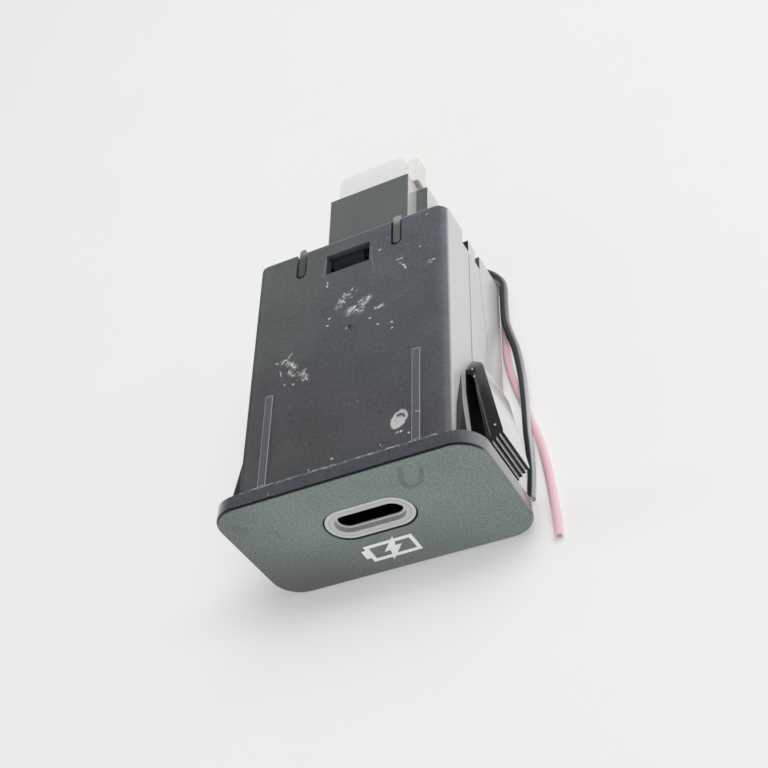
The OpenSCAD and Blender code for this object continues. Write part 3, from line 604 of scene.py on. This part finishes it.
grit = ramp(tree, noise(tree, place, 3000.0, 2.0), 0.52, 0.62)
shade = blend(tree, weighed(tree, weighed(tree, rim_edge_wear_and_highlight, grit), 0.6), shade, (0.45, 0.46, 0.46, 1))
turned = weighed(tree, ramp(tree, facing(tree, "Y"), -0.97, -0.85),
                 ramp(tree, facing(tree, "Y"), -0.45, -0.25, 1.0, 0.0))
turned = weighed(tree, turned, ramp(tree, facing(tree, "Z"), 0.15, 0.35))
shade = blend(tree, turned, shade, (0.006, 0.006, 0.007, 1))
shade = blend(tree, either(tree, [nick, fleck]), shade, (0.55, 0.56, 0.53, 1))
rough = ramp(tree, painted, 0.0, 1.0, 0.3, 0.55)
coat = opposite(tree, either(tree, [painted, turned]))
set_sockets(tree, shader, {"Base Color": shade, "Roughness": rough, "Coat Weight": coat})
bump(tree, shader, weighed(tree, surface["Height"], painted), 2e-5)
dress("bezel", bezel_plastic)
round_edges("bezel", 0.00008)


# Charging sign: white ink, pad-printed on the bezel under the port. It is the plain outline of a
# battery with a lightning bolt across it.

ink, tree, shader = finish("white ink", {"IOR": 1.5, "Specular IOR Level": 0.3})
moulded(tree, shader, (0.9, 0.91, 0.9, 1), mottle=0.08, roughness=0.5, unevenness=0.1, grain=3600.0,
        depth=1.2e-5, speckle=0.2)

ink_lift = 0.012
bolt_lift = 0.0138
film_share = 0.9
outline = [(-3.48, -3.66), (2.95, -3.56), (2.95, -6.86), (-3.54, -6.98)]
hollow = [(-2.95, -4.2), (2.42, -4.12), (2.42, -6.32), (-2.98, -6.42)]
nub = [(-4.1, -4.45), (-3.5, -4.4), (-3.5, -6.1), (-4.14, -6.12)]
bolt = [(0.68, -3.12), (-1.52, -5.6), (-0.69, -5.55), (-1.22, -7.54), (1.14, -4.85), (0.26, -4.88),
        (0.62, -3.89)]

corners = on_face(outline, ink_lift) + on_face(hollow, ink_lift)
faces = [[k, (k + 1) % 4, 4 + (k + 1) % 4, 4 + k] for k in range(4)]
for shape, lift in ((nub, ink_lift), (bolt, bolt_lift)):
    faces.append(list(range(len(corners), len(corners) + len(shape))))
    corners += on_face(shape, lift)
sign = mesh_piece("charging_sign", corners, faces, ink)
body = bmesh.new()
body.from_mesh(sign.data)
for face in body.faces:
    if face.normal.y > 0:
        face.normal_flip()
body.to_mesh(sign.data)
body.free()
film = sign.modifiers.new("ink film", "SOLIDIFY")
film.thickness = film_share * ink_lift / 1000
film.offset = -1
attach(sign, "root")


# Sleeve: black moulded plastic, open at both ends, with a spring wing at each side and two key fins
# on the right. The wings and fins come polished from the mould and are painted near-black, partly as
# painted shade; handling has scratched the top.

sleeve_side = 13.75
sleeve_top = 9.15
sleeve_end = 39.6
rib_top = 9.4
rib_x = 9.9
rib_end = 15.9
wing_top = 3.85
wing_half = 4.0
wing_x = 15.0
wing_root = 15.5
wall_x = 13.5
thick, thin, hair = 0.34, 0.2, 0.12
scratches = [
    (thin, [(0.81, 29.6), (1.02, 29.95)]), (thin, [(-0.2, 29.46), (-0.29, 28.85)]),
    (thin, [(0.12, 28.95), (0.53, 28.91)]), (hair, [(0.78, 28.28), (0.9, 28.34)]),
    (thin, [(-0.99, 28.62), (-0.64, 28.84)]), (thin, [(-1.04, 28.09), (-0.52, 28.25), (-0.07, 27.8)]),
    (thin, [(-1.12, 27.38), (-0.65, 27.47)]), (thin, [(1.83, 27.07), (2.3, 27.07)]),
    (thick, [(2.55, 26.38), (3.01, 26.56), (3.31, 27.35)]),
    (thick, [(0.59, 26.0), (1.05, 26.16), (1.39, 26.45)]), (thin, [(0.68, 26.68), (1.38, 26.52)]),
    (thin, [(1.51, 25.97), (1.88, 25.38)]), (thin, [(2.12, 25.35), (2.58, 25.38)]),
    (thin, [(4.2, 24.98), (4.66, 25.06), (5.23, 25.1)]), (thin, [(-2.88, 32.5), (-2.8, 31.71)]),
    (thin, [(-7.29, 22.08), (-7.59, 21.48), (-7.94, 21.2)]),
    (thin, [(-8.02, 21.24), (-8.37, 21.32), (-8.49, 20.84)]),
    (thick, [(-7.62, 20.5), (-7.19, 20.26), (-6.74, 19.57)]), (thin, [(-7.57, 19.25), (-7.24, 18.76)]),
    (thin, [(-7.05, 18.3), (-6.74, 18.23)]), (thin, [(-8.82, 19.67), (-8.56, 18.93)]),
    (thick, [(-5.61, 18.07), (-5.36, 18.13)]), (thin, [(-5.15, 17.51), (-4.83, 16.81)]),
    (thin, [(-5.32, 18.61), (-5.04, 18.79)]), (thin, [(7.12, 32.11), (7.81, 32.14)]),
    (hair, [(7.33, 31.65), (7.68, 31.31)]), (thin, [(7.97, 31.01), (8.39, 30.11)]),
    (thin, [(11.26, 29.86), (11.67, 30.03), (12.35, 30.0)]), (hair, [(11.54, 29.57), (11.88, 29.59)]),
    (hair, [(5.4, 3.38), (5.47, 3.01), (5.75, 2.83), (5.87, 3.02)])]
faint_scratches = [
    (thin, [(1.23, 29.19), (1.75, 29.4)]), (thin, [(-6.35, 18.78), (-6.0, 18.4)]),
    (hair, [(8.21, 34.3), (9.05, 34.17)]), (hair, [(5.49, 36.86), (6.06, 36.87)]),
    (hair, [(3.33, 36.4), (3.89, 31.43)]), (hair, [(-3.25, 36.84), (-3.4, 33.96)])]
scuffs = [
    (1.3, [(0.5, 26.0), (1.3, 26.1), (2.1, 25.6)]), (1.1, [(2.1, 26.7), (3.2, 27.2)]),
    (0.9, [(-1.1, 27.4), (-0.6, 28.4), (0.3, 28.9)]), (0.6, [(4.3, 25.0), (5.2, 25.1)]),
    (0.9, [(-8.4, 21.0), (-7.4, 20.4), (-6.8, 19.6)]), (1.0, [(-5.6, 18.1), (-5.0, 17.2)]),
    (0.7, [(-7.4, 19.0), (-6.8, 18.3)])]
specks = [
    (-2.21, 25.89), (-2.44, 24.81), (6.49, 21.72), (6.6, 20.77), (4.64, 22.24), (3.5, 23.64),
    (-5.37, 17.01), (-9.39, 21.18), (-6.79, 16.82), (-8.07, 17.24), (11.29, 38.56), (13.1, 31.04),
    (4.67, 35.11), (10.31, 33.15), (0.32, 23.28), (7.54, 4.32), (7.94, 4.3), (8.98, 3.76),
    (11.19, 2.16), (-0.78, 3.39), (-3.87, 2.85)]
rib_scratch = [(0.15, [(10.0, 6.32), (10.62, 6.24)])]
wing_flecks = [(14.56, 15.29), (14.8, 14.05), (17.13, 5.93), (17.8, 4.28)]

sleeve_finish = {"IOR": 1.55, "Coat Roughness": 0.08, "Coat IOR": 1.55}
gloss_black, tree, shader = finish("black sleeve plastic", sleeve_finish)
place = wavering(tree, 0.0005, 1500.0)
plain_place = on_part(tree)


def dots(places, width):
    """Lines so short that they look round."""
    return [(width, [(x, y), (x + 0.02, y)]) for x, y in places]


def on_top(lines, z=sleeve_top):
    """Lines at one height, given in millimetres across and back from the bezel's face."""
    return [(width / 1000, [at(x, y, z) for x, y in points]) for width, points in lines]


# Wear on the top. Crumbs break up the scratches, and slanting strokes fill the scuffs.
scratched = drawn(tree, place, on_top(scratches) + on_top(dots(specks, 0.3)) + on_top(rib_scratch, rib_top))
dim = drawn(tree, place, on_top(faint_scratches))
crumbs = ramp(tree, noise(tree, plain_place, 5200.0, 2.0), 0.36, 0.5)
scuffed = drawn(tree, place, on_top(scuffs))
stroke = add(tree, "VectorRotate", {"Vector": plain_place, "Angle": -0.7}, rotation_type="Z_AXIS")
stroke = vector_node(tree, "MULTIPLY", stroke.outputs["Vector"], (1500.0, 8000.0, 1500.0))
scuffed = weighed(tree, scuffed, ramp(tree, noise(tree, stroke, 1.0, 2.0), 0.5, 0.62))
light_marks = math_node(tree, "MAXIMUM", weighed(tree, scratched, crumbs), weighed(tree, scuffed, 0.8))

# Oval smudge with a rim, and a dark crescent in its rear half.
smudge_x, smudge_y = 7.71, 6.2
oval = add(tree, "Mapping", {"Vector": place, "Location": -at(smudge_x, smudge_y, sleeve_top)})
oval = add(tree, "VectorRotate", {"Vector": oval.outputs["Vector"], "Angle": 0.45}, rotation_type="Z_AXIS")
oval = vector_node(tree, "MULTIPLY", oval.outputs["Vector"], (1.05, 0.75, 1.0))
oval_y = add(tree, "SeparateXYZ", {"Vector": oval}).outputs["Y"]
oval_off = measure(tree, "LENGTH", oval)
smudge = weighed(tree, ramp(tree, oval_off, 0.00085, 0.0011, 1.0, 0.0),
                 ramp(tree, oval_y, 0.0001, 0.0004, 1.0, 0.5))
crescent = weighed(tree, ramp(tree, off(tree, oval_off, 0.00058), 0.00006, 0.00018, 1.0, 0.0),
                   ramp(tree, oval_y, 0.0001, 0.0004))
smudge_rim = ramp(tree, off(tree, oval_off, 0.00085), 0.0001, 0.00028, 1.0, 0.0)

# Mould lines on the right side, a pit in the top, and masks of the sleeve's regions.
upper_line = line(tree, plain_place, at(sleeve_side, 18.6, 1.9), at(sleeve_side, 36.6, 1.9), 0.00022)
lower_line = line(tree, plain_place, at(sleeve_side, 36.94, -1.31), at(sleeve_side, 24.07, -3.22), 0.0002)
mould_line = either(tree, [upper_line["Mask"], weighed(tree, lower_line["Mask"], 0.4)])
pit = line(tree, plain_place, at(0.66, 23.35, sleeve_top), at(0.72, 23.35, sleeve_top), 0.0006)["Mask"]
out_x = math_node(tree, "ABSOLUTE", along(tree, "X"))
polished_and_shaded = above(tree, out_x, sleeve_side / 1000 + 1e-5)
on_rib = above(tree, along(tree, "Z"), z_at(rib_top) - 5e-5)
joint = weighed(tree, ramp(tree, along(tree, "Y"), y_at(2.48), y_at(2.64), 1.0, 0.0),
                above(tree, along(tree, "Z"), z_at(sleeve_top) - 3e-5))
rear_edge_highlight = weighed(tree, ramp(tree, along(tree, "Y"), y_at(sleeve_end - 0.25), y_at(sleeve_end - 0.1)),
                    above(tree, along(tree, "Z"), z_at(sleeve_top) - 1e-4))


def low_angle(tree):
    """Rises to 1 where the surface is seen at a low angle."""
    return ramp(tree, add(tree, "LayerWeight", {"Blend": 0.5}).outputs["Facing"], 0.4, 0.62)


# The right side is painted pale at low angles, as a painted reflection of the table. The wall behind the
# wing is painted near-black as painted shade.
right_side = weighed(tree, ramp(tree, facing(tree, "X"), 0.7, 0.98), above(tree, along(tree, "X"), 0.0132))
behind = weighed(tree, opposite(tree, beyond(tree, "Z", z_at(0), wing_half / 1000)),
                 below(tree, along(tree, "Y"), y_at(wing_root)))
behind = weighed(tree, behind, below(tree, along(tree, "X"), wing_x / 1000))
behind = weighed(tree, behind, above(tree, along(tree, "X"), wall_x / 1000))
low_angle_reflection = weighed(tree, low_angle(tree), math_node(tree, "SUBTRACT", right_side, behind))

# Colour, from the moulded skin up through dust, ribs, wing and wear, with painted light, reflection,
# highlights and shade among them.
# Painted light: the top is painted lighter and bluer towards the right rear, and paler at the left rear.
slant = measure(tree, "DOT_PRODUCT", plain_place, (0.6, 0.8, 0.0))
tone_with_painted_light = blend(tree, ramp(tree, slant, -0.02, 0.016), (0.063, 0.064, 0.069, 1), (0.09, 0.106, 0.121, 1))
left_rear_light = weighed(tree, ramp(tree, along(tree, "X"), -0.008, 0.006, 1.0, 0.0),
                    ramp(tree, along(tree, "Y"), -0.012, 0.006))
tone_with_painted_light = blend(tree, weighed(tree, left_rear_light, 0.6), tone_with_painted_light, (0.1, 0.109, 0.1, 1))
surface = use(tree, skin, {"Colour": tone_with_painted_light, "Mottle": 0.7, "Speckle": 1.0, "Roughness": 0.42,
                           "Unevenness": 0.16, "Grain": 3000.0})
shade = dusted(tree, surface["Colour"], (0.3, 0.31, 0.31, 1), 0.06)
shade = dusted(tree, shade, (0.28, 0.29, 0.29, 1), 0.12, 2400.0)
rib_edge_highlight = math_node(tree, "MAXIMUM", ramp(tree, off(tree, out_x, rib_x / 1000), 0.0004, 0.00048),
                     ramp(tree, along(tree, "Y"), y_at(rib_end - 0.15), y_at(rib_end)))
# The rib tops are painted lighter, and their edges are painted light as a painted highlight.
shade = blend(tree, weighed(tree, on_rib, 0.35), shade, (0.15, 0.16, 0.18, 1))
shade = blend(tree, weighed(tree, on_rib, weighed(tree, rib_edge_highlight, 0.8)), shade, (0.36, 0.37, 0.39, 1))
# The wings and fins are painted near-black, partly for their polish and partly as painted shade; the wall
# behind the wing is painted near-black as painted shade.
shade = blend(tree, either(tree, [polished_and_shaded, behind]), shade, (0.004, 0.005, 0.007, 1))
flecks = drawn(tree, plain_place, on_top(dots(wing_flecks, 0.26), wing_top))
shade = blend(tree, weighed(tree, flecks, 0.9), shade, (0.75, 0.76, 0.75, 1))
# A painted highlight along the wing's inner top edge.
wing_edge_highlight = line(tree, plain_place, at(14.75, 14.6, wing_top), at(16.5, 4.6, wing_top), 0.00012)["Mask"]
shade = blend(tree, weighed(tree, wing_edge_highlight, 0.5), shade, (0.25, 0.26, 0.28, 1))
# Painted reflection: the right side turns pale where it is seen at a low angle.
mirroring = weighed(tree, math_node(tree, "MAXIMUM", low_angle_reflection, 0.0), 0.85)
shade = blend(tree, mirroring, shade, (0.75, 0.75, 0.727, 1))
smudge = weighed(tree, smudge, ramp(tree, crumbs, 0.0, 1.0, 0.65, 0.95))
shade = blend(tree, smudge, shade, (0.6, 0.61, 0.6, 1))
shade = blend(tree, weighed(tree, smudge_rim, 0.7), shade, (0.62, 0.63, 0.62, 1))
shade = blend(tree, weighed(tree, crescent, 0.8), shade, (0.02, 0.02, 0.02, 1))
shade = blend(tree, weighed(tree, dim, 0.4), shade, (0.4, 0.41, 0.4, 1))
patchy = ramp(tree, noise(tree, plain_place, 900.0, 2.0), 0.4, 0.6, 0.15, 0.8)
# Pale specks along the joint with the bezel: partly wear, partly a painted highlight.
shade = blend(tree, weighed(tree, weighed(tree, joint, crumbs), patchy), shade, (0.5, 0.51, 0.51, 1))
# A painted highlight along the top's rear edge.
shade = blend(tree, weighed(tree, rear_edge_highlight, 0.5), shade, (0.4, 0.41, 0.41, 1))
shade = blend(tree, weighed(tree, light_marks, 0.9), shade, (0.72, 0.73, 0.71, 1))
# The pit and the mould lines are sunk, and painted near-black as painted shade in their hollows.
sunk = either(tree, [mould_line, pit])
shade = blend(tree, weighed(tree, sunk, 0.8), shade, (0.008, 0.008, 0.009, 1))
set_sockets(tree, shader, {"Base Color": shade})

# Gloss and relief. Scratches, the left edge, the right side and the wall behind the wing lose gloss.
worn = math_node(tree, "ADD", surface["Roughness"], weighed(tree, light_marks, 0.3))
left_edge = ramp(tree, facing(tree, "X"), -0.4, -0.02, 1.0, 0.0)
worn = math_node(tree, "ADD", worn, weighed(tree, either(tree, [left_edge, behind]), 0.4))
worn = math_node(tree, "SUBTRACT", worn, weighed(tree, polished_and_shaded, 0.25))
uncoated = either(tree, [pit, weighed(tree, light_marks, 0.6), left_edge, behind,
                         weighed(tree, right_side, 0.7)])
set_sockets(tree, shader, {"Roughness": worn, "Coat Weight": opposite(tree, uncoated)})
relief = math_node(tree, "SUBTRACT", weighed(tree, surface["Height"], 0.08), sunk)
bump(tree, shader, relief, 4e-5)
dress("housing", gloss_black)
round_edges("housing", 0.00006)


# Rear cover: the same black plastic with a duller skin. It closes the sleeve, hooks into its
# windows, and carries the shroud that takes the harness plug. The ends of its guide tabs are rubbed.

tab_x = 0.0069
tab_half = 0.0006
tab_low = 8
tab_front = 38.6
tab_rear = 40.55
hook_x = 0.0122
cover_black, tree, shader = finish("cover plastic", {"IOR": 1.5, "Coat Roughness": 0.15})
outside = ramp(tree, along(tree, "Y"), y_at(sleeve_end - 0.1), y_at(sleeve_end + 0.05))
tab = opposite(tree, beyond(tree, "X", 0.0, tab_x + tab_half))
tab = weighed(tree, tab, beyond(tree, "X", 0.0, tab_x - tab_half))
tab = weighed(tree, tab, ramp(tree, along(tree, "Y"), y_at(tab_front), y_at(sleeve_end + 0.1), 0.3, 0.72))
tab = weighed(tree, tab, below(tree, along(tree, "Y"), y_at(tab_rear)))
tab = weighed(tree, tab, above(tree, along(tree, "Z"), z_at(tab_low)))
# Painted reflection: the cover's outside faces that look right turn pale at low angles.
grazed = low_angle(tree)
low_angle_reflection = weighed(tree, grazed, weighed(tree, ramp(tree, facing(tree, "X"), 0.45, 0.95), outside))
shade = blend(tree, outside, (0.012, 0.013, 0.014, 1), (0.122, 0.136, 0.13, 1))
shade = blend(tree, weighed(tree, low_angle_reflection, 0.85), shade, (0.75, 0.75, 0.73, 1))
rubbed = weighed(tree, tab, ramp(tree, along(tree, "X"), -0.001, 0.001, 0.45, 0.75))
shade = blend(tree, rubbed, shade, (0.5, 0.51, 0.5, 1))
# Painted reflection: the hook's right side turns pale at low angles.
hook_side_reflection = weighed(tree, ramp(tree, facing(tree, "X"), 0.6, 0.9), above(tree, along(tree, "X"), hook_x))
shade = blend(tree, weighed(tree, weighed(tree, hook_side_reflection, grazed), 0.9), shade, (0.8, 0.8, 0.78, 1))
set_sockets(tree, shader, {"Coat Weight": weighed(tree, outside, 0.6)})
shade = dusted(tree, shade, (0.35, 0.36, 0.35, 1), 0.03)
moulded(tree, shader, shade, mottle=0.25, roughness=0.42, unevenness=0.15, grain=4000.0, depth=6e-6,
        speckle=0.2)
dress("rear_cover", cover_black)


# Header pins and plug terminals: tinned brass. The pins are pressed through the cover and soldered
# to the board; the terminals are crimped on the wires and pushed into the plug.

tin, tree, shader = finish("tinned brass", {"Metallic": 1.0})
moulded(tree, shader, (0.70, 0.68, 0.62, 1), mottle=0.2, roughness=0.34, unevenness=0.2,
        grain=3000.0, depth=5e-6)
dress("header_pins", tin)
round_edges("header_pins", 0.00006, segments=1)
dress("plug_terminals", tin)


# Harness plug: white nylon, moulded in one piece, with a second lock of cream nylon pushed in
# from the side over the terminals.

def nylon(name, colour):
    """Nylon with a soft skin and a little dust."""
    made, tree, shader = finish(name, {"IOR": 1.53, "Subsurface Weight": 0.2, "Subsurface Scale": 0.0008})
    dusty = dusted(tree, colour, (0.55, 0.53, 0.48, 1), 0.02)
    moulded(tree, shader, dusty, mottle=0.05, roughness=0.42, unevenness=0.1, grain=3000.0, depth=5e-6)
    return made


dress("plug_housing", nylon("white nylon", (0.88, 0.88, 0.865, 1)))
dress("plug_retainer", nylon("cream nylon", (0.85, 0.85, 0.8, 1)))
round_edges("plug_retainer", 0.0001)


# Wires: stranded copper in extruded insulation, 1.2 mm thick over all, painted paler on the side that faces
# right as a painted highlight.
# They leave the plug's rear, drop to the table, run forward beside the sleeve with the black one
# over the pink, and are cut off square.

wire_d = 1.2
plug_rear = 53.3
crimp_end = 51.1
crimp_z = 4.05
lying = -8.97
over = lying + 1.05 * wire_d
pink_route = [
    (1.45, crimp_end, crimp_z), (1.45, crimp_end + 1.5, crimp_z), (1.45, crimp_end + 3, crimp_z),
    (1.45, plug_rear + 2.25, 3.68), (1.6, plug_rear + 3.35, 2.62), (1.8, plug_rear + 3.8, 1.05),
    (2.1, plug_rear + 3.7, -1.1), (2.6, plug_rear + 2.9, -3.2), (3.4, plug_rear + 1.3, -5.3),
    (4.6, plug_rear - 1, -7.2), (6, plug_rear - 3.7, -8.5), (7.4, plug_rear - 6.2, lying + 0.06),
    (8.9, 45.2, lying), (10.6, 43.5, lying), (12.5, 41.9, lying), (13.8, 39.7, lying), (14, 36.6, lying),
    (14, 33, lying), (14, 30, lying), (14.05, 27.4, lying), (14.5, 24.4, lying), (15.4, 20.8, lying),
    (16.5, 17, lying), (17.7, 12.6, lying), (18.45, 7.8, lying), (18.9, 3.2, lying), (19.1, 0.4, lying),
    (19.2, -1.79, lying)]
black_route = [
    (3.6, crimp_end, crimp_z), (3.6, crimp_end + 1.5, crimp_z), (3.6, crimp_end + 3, crimp_z),
    (3.6, plug_rear + 2.25, 3.68), (3.7, plug_rear + 3.35, 2.62), (3.85, plug_rear + 3.8, 1.05),
    (4.1, plug_rear + 3.7, -1.1), (4.5, plug_rear + 2.9, -3), (5.1, plug_rear + 1.3, -4.85),
    (5.9, plug_rear - 1, -6.3), (6.9, plug_rear - 3.7, -7.3), (8, plug_rear - 6.2, over),
    (9.4, 45.4, over), (11.1, 43.7, over), (13, 42.1, over), (14.4, 39.8, over), (14.5, 36.4, over),
    (14.55, 33.2, over), (15, 30.6, over), (15.7, 27.6, over - 0.3), (16.2, 23.4, over - 0.4),
    (16.5, 19.6, over - 0.1), (16.6, 16.6, over), (16.55, 13.8, over - 0.2), (16.5, 11, lying + 0.5),
    (16.4, 8.4, lying + 0.08), (16.25, 6.2, lying), (16.1, 4.4, lying)]
drawn_radius = 0.95 * wire_d / 2000
copper_radius = 0.00036


def wire(name, route, colour, highlight_colour, solid):
    """A wire along its route, painted paler on the side that faces right as a painted highlight, with the
    copper showing at its cut end.
    """
    insulation, tree, shader = finish(
        name + " insulation", {"IOR": 1.5, "Coat Weight": 0.8, "Coat Roughness": 0.15})
    points = [at(*p) for p in route]
    place = on_part(tree)
    copper = below(tree, measure(tree, "DISTANCE", place, points[-1]), copper_radius)
    strands = add(tree, "TexVoronoi", {"Vector": place, "Scale": 6000.0}).outputs["Distance"]
    cut_face = blend(tree, ramp(tree, strands, 0.3, 0.7), (0.5, 0.36, 0.31, 1), (0.22, 0.14, 0.12, 1))
    # Painted highlight: the side that faces right is paler, most towards the front.
    right_highlight = weighed(tree, ramp(tree, facing(tree, "X"), 0.3, 0.65),
                     ramp(tree, along(tree, "Y"), -0.015, 0.008, 0.9, 0.25))
    dusty = dusted(tree, blend(tree, right_highlight, colour, highlight_colour), (0.4, 0.39, 0.36, 1), 0.03)
    shade = blend(tree, copper, dusty, cut_face)
    moulded(tree, shader, shade, mottle=0.12, roughness=0.4, unevenness=0.12, grain=5000.0, depth=4e-6)
    set_sockets(tree, shader, {"Metallic": copper})
    curve = bpy.data.curves.new(name, "CURVE")
    curve.dimensions = "3D"
    curve.bevel_depth = drawn_radius
    curve.bevel_resolution = 5
    curve.use_fill_caps = True
    curve.materials.append(insulation)
    spline = curve.splines.new("BEZIER")
    spline.bezier_points.add(len(route) - 1)
    spline.resolution_u = 8
    for k, (knot, point) in enumerate(zip(spline.bezier_points, points)):
        before, after = points[max(k - 1, 0)], points[min(k + 1, len(points) - 1)]
        # A sixth of the step between the neighbours makes a smooth curve.
        pull = (after - before) / 6
        knot.co = point
        knot.handle_left = point - pull
        knot.handle_right = point + pull
    made = bpy.data.objects.new(name, curve)
    scene.collection.objects.link(made)
    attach(made, "root")
    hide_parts(solid)


wire("pink_lead", pink_route, (0.88, 0.56, 0.61, 1), (0.9, 0.62, 0.66, 1), "wire_pink")
wire("black_lead", black_route, (0.035, 0.04, 0.038, 1), (0.62, 0.62, 0.64, 1), "wire_black")
